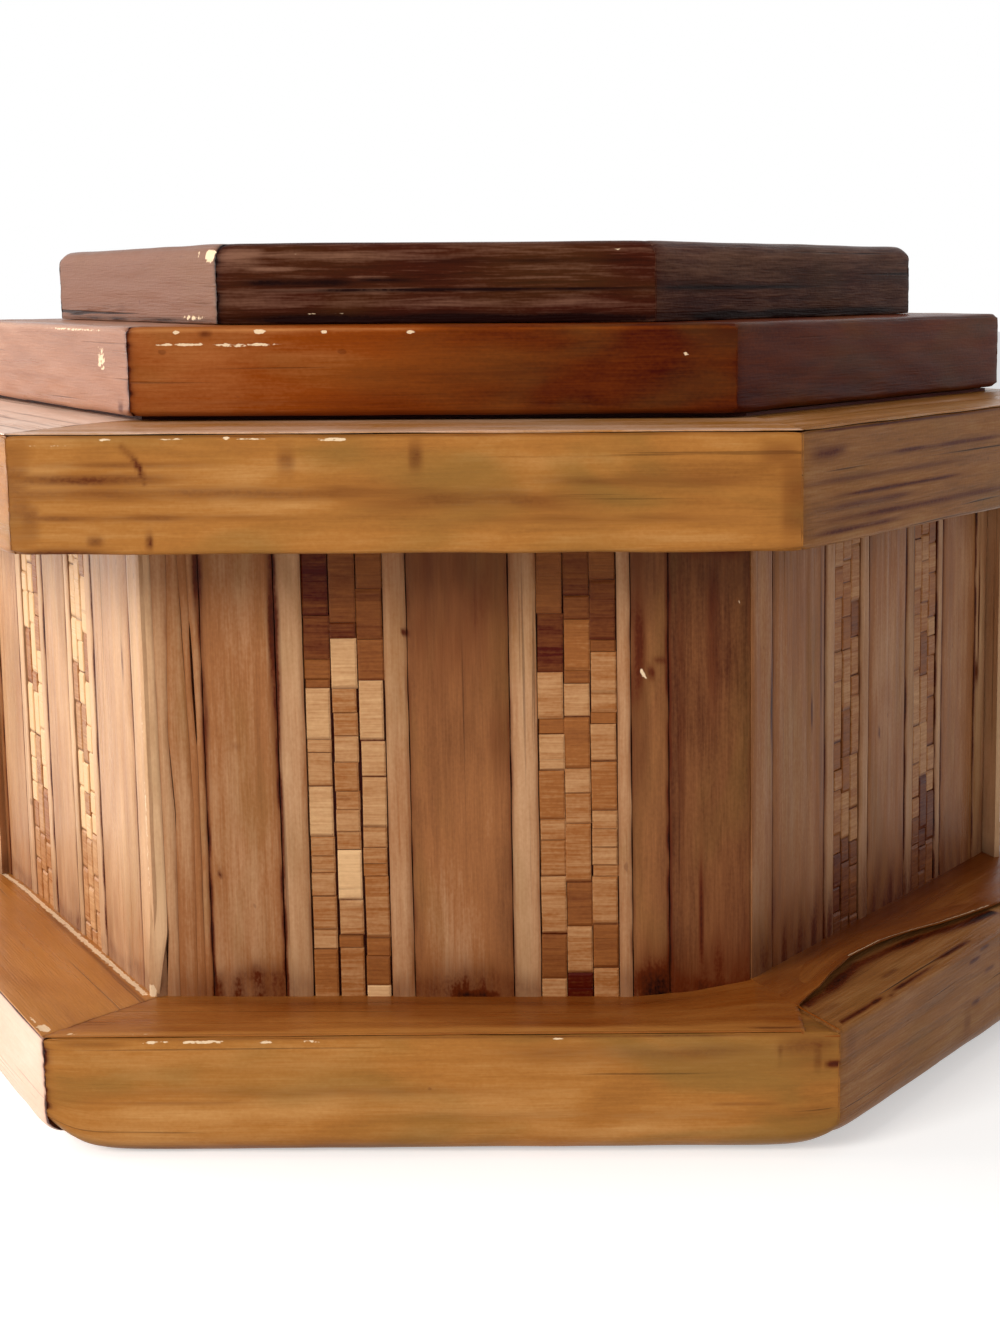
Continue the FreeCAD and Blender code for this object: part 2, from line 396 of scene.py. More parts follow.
class Form:
    """Collects the points, faces and painted values of one piece."""

    def __init__(self):
        self.points, self.faces, self.values = [], [], {}

    def add_loft(self, points, flip=False, **values):
        """Adds one closed loft: points by row and place round the row, with values for each."""
        rows, around = points.shape[:2]
        faces = loft_faces(rows, around, sum(len(p) for p in self.points))
        self.faces += [face[::-1] for face in faces] if flip else faces
        self.points.append(points.reshape(-1, 3))
        for name, value in values.items():
            width = 3 if name == "grain" else 1
            full = np.broadcast_to(value, (rows, around, 3) if width == 3 else (rows, around))
            self.values.setdefault(name, []).append(full.reshape(-1, width))

    def to_object(self, name, material):
        mesh = bpy.data.meshes.new(name)
        mesh.from_pydata(np.concatenate(self.points).tolist(), [], self.faces)
        for key, parts in self.values.items():
            flat = np.concatenate(parts).astype(np.float32).ravel()
            if key == "grain":
                mesh.attributes.new(key, "FLOAT_VECTOR", "POINT").data.foreach_set("vector", flat)
            else:
                mesh.attributes.new(key, "FLOAT", "POINT").data.foreach_set("value", flat)
        mesh.materials.append(material)
        mesh.shade_smooth()
        mesh.set_sharp_from_angle(angle=math.radians(38))
        mesh.validate()
        piece = bpy.data.objects.new(name, mesh)
        bpy.context.scene.collection.objects.link(piece)
        return piece


def of_side(table, side):
    """What a table says of a side, or else of all the sides that it doesn't name."""
    return table.get(side, table["all"])


def painting_of(side, tones, stains, chips, rubs_and_sheen):
    """The tones of one side and the marks on it."""
    return {"tones": of_side(tones, side), "stains": stains.get(side, ()),
            "chips": chips.get(side, ()), "rubs_and_sheen": rubs_and_sheen.get(side, ())}


def stand_for(piece, body, slot, *nodes):
    """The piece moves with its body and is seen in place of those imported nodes."""
    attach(piece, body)
    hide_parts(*nodes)


def ring_corners(ring):
    """Outer corners of a ring of six nodes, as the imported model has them."""
    low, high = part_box(f"{ring}_front")
    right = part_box(f"{ring}_front_right")[1].x
    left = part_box(f"{ring}_front_left")[0].x
    y = low.y
    return [Vector(p) for p in ((low.x, y), (high.x, y), (right, 0), (high.x, -y), (low.x, -y), (left, 0))]


def inset(corners, width):
    """The same outline moved inwards."""
    moved = []
    for i, corner in enumerate(corners):
        before, after = corners[i - 1], corners[(i + 1) % 6]
        inward = ((before - corner).normalized() + (after - corner).normalized()).normalized()
        moved.append(corner + inward * width / SIN60)
    return moved


def rounded_section(width, bottom, top, low_round, high_round, fine):
    """A moulding's section as depth and height, from its inner foot round the outer face to the top."""
    outline = [(width, bottom)]
    steps = 7
    for k in range(steps + 1):
        turn = math.pi / 2 * k / steps
        outline.append((low_round * (1 - math.sin(turn)), bottom + low_round * (1 - math.cos(turn))))
    straight = top - high_round - (bottom + low_round)
    count = max(2, round(straight / fine))
    outline += [(0.0, bottom + low_round + straight * k / count) for k in range(1, count)]
    for k in range(steps + 1):
        turn = math.pi / 2 * k / steps
        outline.append((high_round * (1 - math.cos(turn)), top - high_round * (1 - math.sin(turn))))
    across = width - high_round
    count = max(2, round(across / (3 * fine)))
    outline += [(high_round + across * k / count, top) for k in range(1, count + 1)]
    return np.array(outline)


STAINED = (20 * MM, 4 * MM)  # lengths over which stains and rubs are uneven, along the grain and across
CHIPPED = (3 * MM, 1 * MM)   # the same for chips


def painted(marks, x, z, seed, run=STAINED):
    """Strength of a list of marks at each place; a mark is x, z, half length, half height, strength."""
    total = np.zeros(np.broadcast(x, z).shape)
    ragged = 0.6 + 0.8 * waves(seed, x, z, *run)
    for place_x, place_z, half_length, half_height, strength in marks:
        across = (x / MM - place_x) / half_length
        up = (z / MM - place_z) / half_height
        total = np.maximum(total, strength * np.exp(-across ** 4 - up ** 2) * ragged)
    return total


def stroke(places, half_width, strength):
    """Marks along a line through some places."""
    marks = []
    for (x0, z0), (x1, z1) in zip(places, places[1:]):
        count = max(2, round(math.hypot(x1 - x0, z1 - z0) / half_width))
        for k in range(count):
            share = k / count
            marks.append((x0 + (x1 - x0) * share, z0 + (z1 - z0) * share, half_width, half_width, strength))
    return marks


class Side:
    """One straight side of a ring: its own axes, and how its mitres run."""

    def __init__(self, outer, inner, i):
        self.start, end = outer[i], outer[(i + 1) % 6]
        self.length = (end - self.start).length
        self.along = (end - self.start).normalized()
        self.inward = Vector((-self.along.y, self.along.x))
        self.width = (inner[i] - self.start).dot(self.inward)
        self.start_slope = (inner[i] - self.start).dot(self.along) / self.width
        self.end_slope = (inner[(i + 1) % 6] - end).dot(self.along) / self.width

    def across(self, share, depth, gaps):
        """Distance along the side of a share of the way from mitre to mitre."""
        left = self.start_slope * depth + gaps[0]
        right = self.length + self.end_slope * depth - gaps[1]
        return left + (right - left) * share

    def place(self, x, depth, z):
        """Places in the model of a distance along, a depth and a height."""
        return np.stack([self.start.x + self.along.x * x + self.inward.x * depth,
                         self.start.y + self.along.y * x + self.inward.y * depth,
                         np.broadcast_to(z, x.shape)], axis=-1)


END_STATIONS = (0.0, 0.4, 0.9, 1.6, 2.6)  # rows of points nearest to a mitre, in millimetres from it


def stations(side_length, step):
    """Shares along a side: even in the middle, closer at both ends."""
    near = [end * MM / side_length for end in END_STATIONS]
    count = round(side_length / step)
    middle = np.linspace(near[-1], 1 - near[-1], count)[1:-1]
    return np.array([*near, *middle, *(1 - share for share in reversed(near))])


# How open and dark the mitres at both ends of a side are: crisp joints, and joints rubbed soft
CRISP = {"all": (0.6, 0.6), "front": (1.3, 0.12), "front_right": (0.12, 0.6), "front_left": (0.6, 1.2)}
RUBBED = {"all": (0.6, 0.6), "front": (0.45, 0.08), "front_right": (0.08, 0.5), "front_left": (0.5, 0.4)}


def add_moulding(form, side, section, step, top, seed, tones, mitres, stains=(), chips=(), rubs_and_sheen=(),
                 end_wear=0.5, painted_highlight=0.0, reshape=None):
    """Adds one mitred length with rippled faces, worn ends and painted marks: stains, chips and rubs, with
    painted shade and painted highlight on some sides.

    Marks are placed along the length from its middle and down from its top edge; a positive
    height is a place on top, so far in from the edge.
    """
    s = sizes()
    share = stations(side.length, step)[:, None]
    depth, z = section[:, 0][None, :], section[:, 1][None, :]
    ragged = 0.35 + 1.3 * waves(seed + 1, depth * 1.0, z, 2.2 * MM, 1.6 * MM)
    x = side.across(share, depth, [s.mitre_gap * mitre * ragged for mitre in mitres])
    before, after = np.roll(section, 1, axis=0), np.roll(section, -1, axis=0)
    run = after - before
    out = np.stack([-run[:, 1], run[:, 0]], axis=1)
    out /= np.linalg.norm(out, axis=1)[:, None]
    outside = np.clip(1 - depth / (0.8 * side.width), 0, 1)
    dent = s.ripple * outside * waves(seed + 2, x, z - depth, 26 * MM, 5 * MM)
    from_end = np.minimum(share, 1 - share) * side.length
    on_edge = np.abs(out[:, 0] * out[:, 1])[None, :] * 2
    dent = dent + end_wear * MM * np.exp(-from_end / (0.9 * MM)) * outside * (0.4 + on_edge)
    dent = dent + 0.08 * MM * on_edge * outside * waves(seed + 3, x, z, 14 * MM, 14 * MM)
    new_depth, new_z = depth - out[:, 0] * dent, z - out[:, 1] * dent
    from_middle = x - side.length / 2
    below = np.where(z > section[:, 1].max() - 1 * MM, z - top + depth, z - top)
    grain = np.stack([from_middle, new_depth + 0 * x, new_z - top + 0 * x], axis=-1)
    if reshape:
        new_depth, new_z = reshape(from_middle, new_depth + 0 * x, new_z + 0 * x, from_end + 0 * x)
    tone = np.interp(x / side.length, np.linspace(0, 1, len(tones)), tones)
    # Rubs raise the tone: real rubbed wear, and on some sides painted sheen and painted highlight along an
    # edge
    tone = tone + 0.3 * painted(rubs_and_sheen, from_middle, below, seed + 6)
    # Painted highlight: the tone is raised along a band about 0.7 mm in from the front edge of the top
    tone = tone + painted_highlight * np.exp(-((below / MM - 0.7) / 0.7) ** 2)
    # Stains: real stains and dirt, and painted shadow where a table gives it
    stain = painted(stains, from_middle, below, seed + 4)
    at_mitre = np.exp(-from_end / (0.45 * MM)) * (0.3 + 1.4 * waves(seed + 7, depth, z, 3 * MM, 3 * MM))
    stain = np.maximum(stain, np.where(share < 0.5, *mitres) * at_mitre)
    bare = painted(chips, from_middle, below, seed + 5, CHIPPED)
    form.add_loft(side.place(x, new_depth, new_z), grain=grain, shade=tone, stain=stain, bare=bare,
                  piece=(seed % 97) / 97)


def fineness(i):
    """Mesh size of a side: finer on the three that face the front."""
    return 0.28 * MM if i in (0, 1, 5) else 0.5 * MM


def make_ring(name, ring, inner, rounds, top_cut, looks, body, slot, mitres, seed, painting,
              end_wear=0.5, shape=None):
    """Makes the six lengths of a ring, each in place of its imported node.

    Rounds are those of the lower and the upper outer edge; top_cut is what the tops are lowered by.
    """
    outer = ring_corners(ring)
    for i, side_name in enumerate(SIDES):
        node = f"{ring}_{side_name}"
        low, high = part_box(node)
        top = high.z - top_cut
        side = Side(outer, inner, i)
        section = rounded_section(side.width, low.z, top, *rounds, fineness(i))
        form = Form()
        add_moulding(form, side, section, 2 * fineness(i), top, seed + 10 * i,
                     mitres=of_side(mitres, side_name), end_wear=end_wear,
                     reshape=shape(i, side) if shape else None, **painting_of(side_name, *painting))
        piece = form.to_object(f"{name}_{side_name}", finish(of_side(looks, side_name)))
        stand_for(piece, body, slot, node)


def lowered_by(rail, skin):
    """How far a ring's tops are lowered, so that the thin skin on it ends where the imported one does."""
    return sizes().skin - (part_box(skin)[1].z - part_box(rail)[1].z)


UNDER_SKIN_ROUND = 0.4 * MM  # upper edge of the mouldings that carry a skin


# Pieces of the box

BASE_STAINS_AND_SHADE = {
    "front": [(0, -0.25, 62, 0.3, 0.7), (55.4, -2.6, 4.8, 2.4, 0.55), (59.2, -5.0, 1.3, 0.7, 1.2),
              (56.9, -3.4, 0.5, 2.4, 0.9), (51.3, -3.2, 0.5, 1.8, 0.7), (57.5, 5, 6, 7, 0.45),
              (-53, -1.0, 5, 0.5, 0.5), (-20, -9, 30, 0.8, 0.25), (25, -13, 30, 0.9, 0.2),
              (30, -3.2, 22, 1.6, 0.35), (-30, -18.6, 30, 0.6, 0.4), (46, -11.3, 5, 0.25, 0.5),
              (-44, -10.6, 14, 0.3, 0.35)],
    "front_right": [*stroke([(-56, 2.0), (-45.4, 2.3), (-40, 1.5), (-32.7, 2.2), (-25, 2.2), (-12.7, 3.0),
                             (-5, 2.6)], 0.3, 1.7),
                    # Painted shadow under the curled-up edge of the peeled skin, over dark glue
                    *stroke([(-52, 10), (-45, 10), (-37, 11.3), (-29.6, 12.2), (-19, 11.6), (-10, 10.2),
                             (-3, 8.4), (6.7, 7.0), (13, 6.0)], 1.1, 1.7),
                    (-5.2, -0.8, 2.0, 0.35, 1.8), (-9.4, -1.9, 2.4, 0.4, 1.8), (-2.8, -5.2, 2.0, 0.45, 1.6),
                    (-8.7, -9.8, 1.8, 0.5, 1.2), (-52, 6.5, 4, 1.0, 0.5), (-30, 6.4, 3.0, 0.4, 1.2),
                    (-56.5, -3, 1.6, 2.4, 0.3), (-12, -12, 1.4, 4, 0.35), (-8, 0, 9, 3, 0.3)],
    "front_left": [(40, 0.1, 22, 0.35, 1.7), (59.8, -14, 0.4, 4, 1.8)],
}
BASE_CHIPS = {"front": [(-43, -0.8, 2.2, 0.2, 0.9), (-36, -0.8, 3.4, 0.2, 1.1), (-26, -0.85, 1.6, 0.2, 0.9),
                        (-19, -0.8, 2.0, 0.18, 0.8), (18, -0.7, 1.2, 0.16, 0.8), (51, -17.6, 0.6, 0.3, 0.9)]}
BASE_RUBS = {"front": [(-10, -10, 26, 4, 0.25), (30, -14, 24, 4, 0.35), (-40, -12, 10, 5, 0.2)]}
# The left-facing length's tones and rosy look paint in sheen of the light from the left; the right-facing
# length's worn look carries painted shade
BASE_TONES = {"all": (0.5, 0.46), "front": (0.55, 0.50, 0.44), "front_left": (0.40, 0.66)}
BASE_LOOKS = {"all": "honey_bamboo_look", "front_left": "rosy_bamboo_look",
              "front_right": "worn_bamboo_look"}
# How far the hand-made base departs from the drawn heights, in millimetres: along the foot of the walls
# (places along a side, then rises), and at the corners of its outer edge and of its foot
WALL_FOOT_RISE = {
    "front": ((-48, 28, 38, 48), (-1.4, -1.7, -0.7, 1.4)),
    "front_right": ((-48, 48), (1.4, 2.0)),
    "back_right": ((-48, 48), (2.0, 0.5)),
    "back": ((-48, 48), (0.5, -0.5)),
    "back_left": ((-48, 48), (-0.5, -1.5)),
    "front_left": ((-48, 48), (-1.5, -1.4)),
}
EDGE_RISE = (-0.5, 0.3, 0.0, 0.0, 0.0, 0.0)
FOOT_RISE = {"all": (0.4, 0.4), "front": (0.0, 0.8), "front_right": (2.3, 0.9),
             "back_right": (0.9, 0.4), "back_left": (0.4, 1.5), "front_left": (1.5, 2.3)}
# How far the foot is worn away at both corners of a side, in millimetres, and along what length
CORNER_WEAR = {"all": (0.6, 0.6), "front": (4.2, 1.8), "front_right": (0.4, 0.6)}
CORNER_WEAR_LENGTH = 3.6 * MM


def base_shape(i, side):
    """How one side of the base is shaped: its top slopes and its foot is worn at the corners."""
    base_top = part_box("base_top_veneers")[1].z

    def shape(x, depth, z, from_end):
        share = np.clip(x / side.length + 0.5, 0, 1)
        inward = np.clip(depth / side.width, 0, 1)
        up = np.clip(z / base_top, 0, 1)
        at_wall = np.interp(x / MM, *WALL_FOOT_RISE[SIDES[i]])
        at_edge = EDGE_RISE[i] + (EDGE_RISE[(i + 1) % 6] - EDGE_RISE[i]) * share
        at_foot = np.interp(share, (0, 1), of_side(FOOT_RISE, SIDES[i]))
        wear = np.where(share < 0.5, *of_side(CORNER_WEAR, SIDES[i]))
        worn = wear * np.exp(-(from_end / CORNER_WEAR_LENGTH) ** 1.4) * (1 - inward)
        rise = up * (at_edge + (at_wall - at_edge) * inward) + (1 - up) ** 2 * (at_foot + worn)
        return depth, z + rise * MM

    return shape


class BOX_OT_base_mouldings(bpy.types.Operator):
    """Makes the six lengths of the base, worn round along the lower edge"""
    bl_idname = "box.base_mouldings"
    bl_label = "Base mouldings"

    def execute(self, context):
        make_ring("base_moulding", "base_rail", ring_corners("wall_core"),
                  (sizes().base_round, UNDER_SKIN_ROUND), lowered_by("base_rail_front", "base_top_veneers"),
                  BASE_LOOKS, "box", "honey_bamboo", CRISP, 100,
                  (BASE_TONES, BASE_STAINS_AND_SHADE, BASE_CHIPS, BASE_RUBS), shape=base_shape)
        return {"FINISHED"}


RIM_STAINS = {
    "front": [(0, -0.2, 60, 0.25, 0.55), (-46, -6.6, 13, 0.9, 0.75), (-30, -8.6, 36, 1.0, 0.6),
              (-44, -12.2, 26, 0.5, 0.5), (-42, -4.4, 13, 0.5, 0.4), (10, -9.8, 17, 1.6, 0.5),
              (34, -7.0, 16, 0.8, 0.4), (28, -12.6, 20, 0.7, 0.35), (1.8, -3.2, 1.0, 2.2, 0.7),
              (-17.2, -4, 1.3, 2.4, 0.4), (-45.7, -15.8, 1.2, 0.9, 0.5), (-37.6, -15.6, 0.5, 1.3, 1.1),
              (-55.4, -12.8, 1.6, 2.4, 0.6), (57.0, -10, 1.8, 7.0, 0.5), (55, -3, 3.0, 1.6, 0.4),
              (0, -18.0, 58, 0.5, 0.4), (-51, -17.6, 7, 0.9, 0.9), (-57, -9, 2.4, 9, 0.45),
              *stroke([(-41.2, -1.8), (-39.6, -3.2), (-38.7, -4.8), (-38.2, -6.6), (-38.0, -7.6)],
                      0.5, 0.85)],
    "front_right": [(-30, -8, 30, 0.4, 0.9), (-10, -5, 26, 0.35, 1.2), (-36, -12, 16, 0.5, 1.0),
                    (-50, -3.5, 6, 1.0, 0.9), (-20, -0.3, 40, 0.3, 1.2), (-10, -14, 40, 0.5, 1.2),
                    (-24, -10.4, 22, 0.3, 1.4), (-40, -15.6, 14, 0.4, 1.3)],
}
RIM_CHIPS = {
    "front": [(-43.5, -0.7, 1.0, 0.25, 0.9), (-34, -0.6, 2.6, 0.16, 0.75), (-25.8, -0.5, 0.7, 0.3, 0.9),
              (-22, -0.7, 2.6, 0.15, 0.75), (-10.5, -0.8, 2.4, 0.24, 0.95), (-52, -1.6, 5, 0.14, 0.6)],
}
RIM_RUBS = {
    "front": [(-20, -8, 9, 4, 0.5), (30, -14, 20, 3, 0.4), (-52, -4, 5, 4, 0.4),
              (20, -4, 12, 2, 0.4)],
}
RIM_TONES = {"all": (0.5, 0.44), "front": (0.50, 0.46, 0.40)}
RIM_LOOKS = {"all": "honey_bamboo_look", "front_right": "worn_bamboo_look"}


def rim_shape(i, side):
    """The skin on the rim slopes up towards the lid, which leaves a narrow gap under it."""
    def shape(x, depth, z, from_end):
        return depth, z + sizes().rim_rise * np.clip(depth / (0.7 * side.width), 0, 1)

    return shape


class BOX_OT_rim_mouldings(bpy.types.Operator):
    """Makes the six lengths of the rim under the lid"""
    bl_idname = "box.rim_mouldings"
    bl_label = "Rim mouldings"

    def execute(self, context):
        make_ring("rim_moulding", "rim_rail", ring_corners("wall_core"),
                  (sizes().edge_round, UNDER_SKIN_ROUND), lowered_by("rim_rail_front", "rim_top_veneers"),
                  RIM_LOOKS, "box", "honey_bamboo", RUBBED, 200,
                  (RIM_TONES, RIM_STAINS, RIM_CHIPS, RIM_RUBS))
        return {"FINISHED"}


# How far in from the edge the peeled skin now begins, at places along its side, in millimetres
PEELED_TO = ((-60.3, 0), (-54.3, 10.4), (-49, 11.0), (-45.2, 11.2), (-37.1, 12.6), (-29.6, 13.6),
             (-19.2, 13.1), (-10.7, 11.5), (-2.7, 9.5), (6.7, 7.9), (13.4, 6.9), (60, 2.0))
# How high it curls up there: places, then heights, in millimetres; and how wide the curl is
PEEL_LIFT = ((-54, -40, -15, 10, 30), (0.1, 1.0, 1.0, 0.5, 0.2))
PEEL_WIDTH = 5 * MM
FRONT_SKIN_END = (54.9, 54.4)  # at the edge and where it meets the peeled skin


def peeled_shape(i, side):
    """The skin on the right of the base has come off along its outer half and curls up there."""
    settled = base_shape(i, side)
    places, edges = zip(*PEELED_TO)

    def shape(x, depth, z, from_end):
        border = np.interp(x / MM, places, edges) * MM
        moved = np.maximum(depth, border)
        near = np.clip(1 - (moved - border) / PEEL_WIDTH, 0, 1)
        lift = np.interp(x / MM, *PEEL_LIFT) * MM
        return settled(x, moved, z + lift * near ** 2, from_end)

    return shape


def torn_shape(i, side):
    """The skin on the front of the base has broken off at its right end."""
    settled = base_shape(i, side)
    at_edge, at_peel = FRONT_SKIN_END

    def shape(x, depth, z, from_end):
        border = at_edge + (at_peel - at_edge) * depth / PEELED_TO[1][1] / MM
        gone = (x / MM > border) & (depth < PEELED_TO[1][1] * MM)
        return settled(x, depth, z - 2 * sizes().skin * gone, from_end)

    return shape


def skin_section(width, bottom, top, fine):
    """A thin sheet's section, from its inner foot round the outer edge to its inner top."""
    edge = 0.12 * MM
    outline = [(width, bottom), (edge, bottom), (0, bottom + edge), (0, top - edge), (edge, top)]
    count = round(width / fine)
    return np.array(outline + [(width * k / count, top) for k in range(1, count + 1)])


def make_skins(name, ring, node, material, seed, painting, shapes, painted_highlights):
    """Makes the six mitred sheets on top of a ring as one piece."""
    outer, inner = ring_corners(ring), ring_corners("wall_core")
    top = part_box(node)[1].z
    form = Form()
    for i, side_name in enumerate(SIDES):
        side = Side(outer, inner, i)
        section = skin_section(side.width, top - sizes().skin, top, 1.6 * fineness(i))
        shape = of_side(shapes, side_name)
        add_moulding(form, side, section, 2 * fineness(i), top, seed + 10 * i,
                     mitres=of_side(RUBBED, side_name), end_wear=0.1, painted_highlight=of_side(painted_highlights, side_name),
                     reshape=shape(i, side), **painting_of(side_name, *painting))
    stand_for(form.to_object(name, material), "box", "amber_veneer", node)


SKIN_STAINS = {
    "front": [(0, 18, 50, 1.8, 0.35), (51, 1.4, 4, 0.4, 0.9), (0, 0.15, 60, 0.2, 0.5)],
    "front_left": [(20, 19, 40, 0.5, 0.6)],
    "front_right": [(10, 21, 60, 4.0, 0.6), (-36, 16, 12, 2, 0.3)],
}
SKIN_CHIPS = {
    "front": [(-46, 0.9, 3, 0.2, 0.55), (-56, 1.2, 1.2, 0.5, 0.7)],
    "front_left": [*stroke([(-46, 18.9), (-34, 19.7), (-9, 20.0), (46, 20.4)], 0.6, 0.95),
                   (56.5, 1.3, 1.8, 0.8, 1.3), (52, 0.9, 3, 0.35, 0.7)],
    "front_right": stroke([(x, edge + 0.15) for x, edge in PEELED_TO[5:-1]], 0.28, 1.3),
}
# The first two rubs on the front, near its edge, widen the painted highlight along that edge
SKIN_RUBS_AND_HIGHLIGHTS = {"front": [(16, 2.2, 40, 1.3, 1.2), (-30, 1.6, 24, 0.8, 0.6), (-20, 6, 30, 3, 0.25),
                       (40, 7, 12, 5, 0.3)]}
SKIN_TONES = {"all": (0.5, 0.5), "front": (0.72, 0.60, 0.52), "front_left": (1.0, 0.94),
              "front_right": (0.54, 0.48)}
RIM_SKIN_TONES = {"all": (0.5, 0.5), "front": (0.60, 0.58), "front_left": (0.98, 0.92)}
RIM_SKIN_STAINS = {"front_left": [(20, 4, 40, 0.3, 0.8), (10, 9, 40, 0.4, 0.8), (30, 13, 30, 0.3, 0.7)]}


class BOX_OT_skins(bpy.types.Operator):
    """Lays the bamboo skins on the base and the rim; the one on the right of the base has peeled"""
    bl_idname = "box.skins"
    bl_label = "Skins"

    def execute(self, context):
        make_skins("base_skin", "base_rail", "base_top_veneers", finish("amber_skin_look"), 300,
                   (SKIN_TONES, SKIN_STAINS, SKIN_CHIPS, SKIN_RUBS_AND_HIGHLIGHTS),
                   {"all": base_shape, "front_right": peeled_shape, "front": torn_shape},
                   # Strengths of the painted highlight along the front edges of the skins
                   {"all": 0.0, "front": 0.3, "front_left": 0.15})
        make_skins("rim_skin", "rim_rail", "rim_top_veneers", finish("rim_skin_look"), 400,
                   (RIM_SKIN_TONES, RIM_SKIN_STAINS, {}, {}), {"all": rim_shape},
                   {"all": 0.0, "front": 0.2})
        return {"FINISHED"}


def read_steps(values, apart=0.05 * MM):
    """Sorted values without near repeats."""
    steps = []
    for value in sorted(values):
        if not steps or value - steps[-1] > apart:
            steps.append(value)
    return steps


def wall_points(node, i):
    """Corners of a packed wall node, turned to the front wall."""
    turn = Matrix.Rotation(math.radians(-60 * i), 3, "Z")
    return [turn @ vertex.co for vertex in frame["nodes"][node].data.vertices]


def edge_pairs(node, i):
    """Left and right edge of each strip or column on a wall."""
    steps = read_steps([point.x for point in wall_points(node, i)])
    return list(zip(steps[0::2], steps[1::2]))


# Strips of a wall, left to right: tone, joint on the right, stain at the foot, and paler heart low down
FRONT_STRIPS = ((0.52, 1.15, 0.4, 0.0), (0.54, 1.3, 0.9, 0.06), (0.68, 0.3, 0.5, 0.05),
                (0.66, 0.5, 0.5, 0.05), (0.33, 0.6, 0.8, 0.30), (0.64, 0.3, 0.6, 0.14),
                (0.68, 0.5, 0.5, 0.0), (0.28, 1.4, 1.2, 0.14), (0.19, 0.3, 1.2, 0.06))
RIGHT_STRIPS = ((0.55, 0.5, 0.8, 0.0), (0.50, 0.9, 0.8, 0.0), (0.68, 0.3, 0.7, 0.0), (0.64, 0.5, 0.75, 0.0),
                (0.54, 1.4, 0.8, 0.0), (0.66, 1.3, 0.75, 0.0), (0.72, 1.2, 0.75, 0.0), (0.54, 1.2, 0.8, 0.0),
                (0.72, 0.0, 0.8, 0.0))
# The left wall's strips are paler: painted sheen of the light from the left
LEFT_STRIPS_WITH_SHEEN = ((0.60, 1.2, 0.6, 0.0), (0.70, 0.5, 0.6, 0.0), (0.92, 0.3, 0.5, 0.0), (0.88, 1.4, 0.5, 0.0),
               (0.74, 0.5, 0.7, 0.0), (0.92, 0.3, 0.5, 0.0), (0.88, 0.9, 0.5, 0.0), (0.78, 0.7, 0.6, 0.0),
               (0.86, 0.0, 0.6, 0.0))
# Painted sheen: the strip whose end shows at the far right and far left corners is made palest
SHEEN_END = (1.0, 0.0, 0.6, 0.0)
WALL_STRIPS = {"front": FRONT_STRIPS, "front_right": RIGHT_STRIPS, "front_left": LEFT_STRIPS_WITH_SHEEN,
               "back": FRONT_STRIPS, "back_right": (SHEEN_END, *RIGHT_STRIPS[1:]),
               "back_left": (*LEFT_STRIPS_WITH_SHEEN[:-1], SHEEN_END)}
# Marks on the walls: along the wall from its middle, height, half width, half height, strength; stains, and
# painted shadow under the rim on the front
WALL_STAINS_AND_SHADE = {
    "front": [(-38.9, 87, 0.8, 6, 1.3), (-38.7, 33, 0.35, 12, 1.3), (-38.4, 64, 0.3, 9, 1.3),
              (-27.2, 78, 0.9, 16, 1.2), (-37.0, 39, 0.45, 0.4, 1.5), (-6.6, 77.6, 0.65, 0.65, 2.0),
              (4.2, 83, 0.45, 9, 0.9), (7, 84, 3, 7, 0.4), (1.6, 76, 0.4, 6, 0.5), (8.0, 60, 1.6, 8, 0.4),
              (1.6, 84, 9, 14, 0.5), (2.0, 19.4, 8, 4.6, 0.98), (3.5, 18.6, 4.2, 0.6, 1.9),
              (29.9, 76, 1.1, 16, 0.9), (33.3, 73, 1.3, 0.6, 0.9), (31.9, 71.0, 0.6, 1.2, 1.4),
              (32.6, 19, 3, 6.5, 1.7),
              (-33, 18.6, 5.5, 5.0, 0.75), (-42, 18.6, 4, 4.6, 0.5), (-25, 18.6, 2.6, 5, 0.5),
              (41.5, 77, 0.9, 11, 0.8), (39.6, 32, 0.35, 9, 1.4), (44.5, 19, 4.4, 13, 0.85),
              # The first mark here, at 41.3 and 90.6, is painted shadow under the rim
              (39, 19, 4, 7, 0.8), (41.3, 90.6, 5.6, 1.4, 1.0), (0, 91.4, 48, 0.8, 0.4),
              (-33.7, 59.3, 0.7, 0.2, 0.6), (36.4, 60, 0.5, 30, 0.4)],
    "front_right": [(-40.8, 66, 0.2, 7.5, 1.9), (-23.5, 72, 0.4, 14, 1.1), (-23.3, 52, 0.3, 6.5, 0.7),
                    (-26.9, 61, 0.25, 2.6, 1.9), (-1.2, 53.5, 0.3, 1.0, 2.0), (42.4, 70, 0.3, 9, 2.0),
                    (41.6, 58, 1.2, 2.6, 0.9), (-30, 80, 3, 6.5, 0.25), (-44, 24, 3, 6.5, 0.9),
                    (-40, 30, 0.6, 7, 0.9), (0, 21, 60, 11.5, 0.85)],
    "front_left": [(38, 72, 0.4, 3, 1.0), (21.6, 60, 0.3, 18, 1.1), (-28, 40, 0.3, 20, 0.6),
                   (0, 19, 60, 13.5, 0.38)],
}
WALL_CHIPS = {
    "front": [(-48.6, 19.6, 0.7, 1.2, 1.1), (45.8, 81.8, 0.3, 0.3, 1.2),
              *stroke([(30.2, 71.6), (30.5, 70.6), (31.0, 69.9)], 0.25, 1.1)],
    "front_left": [(46.5, 50, 0.5, 30, 0.5)],
}
# Where the cladding stops at the ends of a wall; a negative number reaches past the corner
END_GAPS = {"all": (0.25, 0.25), "front_right": (0.25, 1.3), "back_right": (-4.6, 0.25),
            "back_left": (0.25, -4.8), "front_left": (1.0, -0.1)}
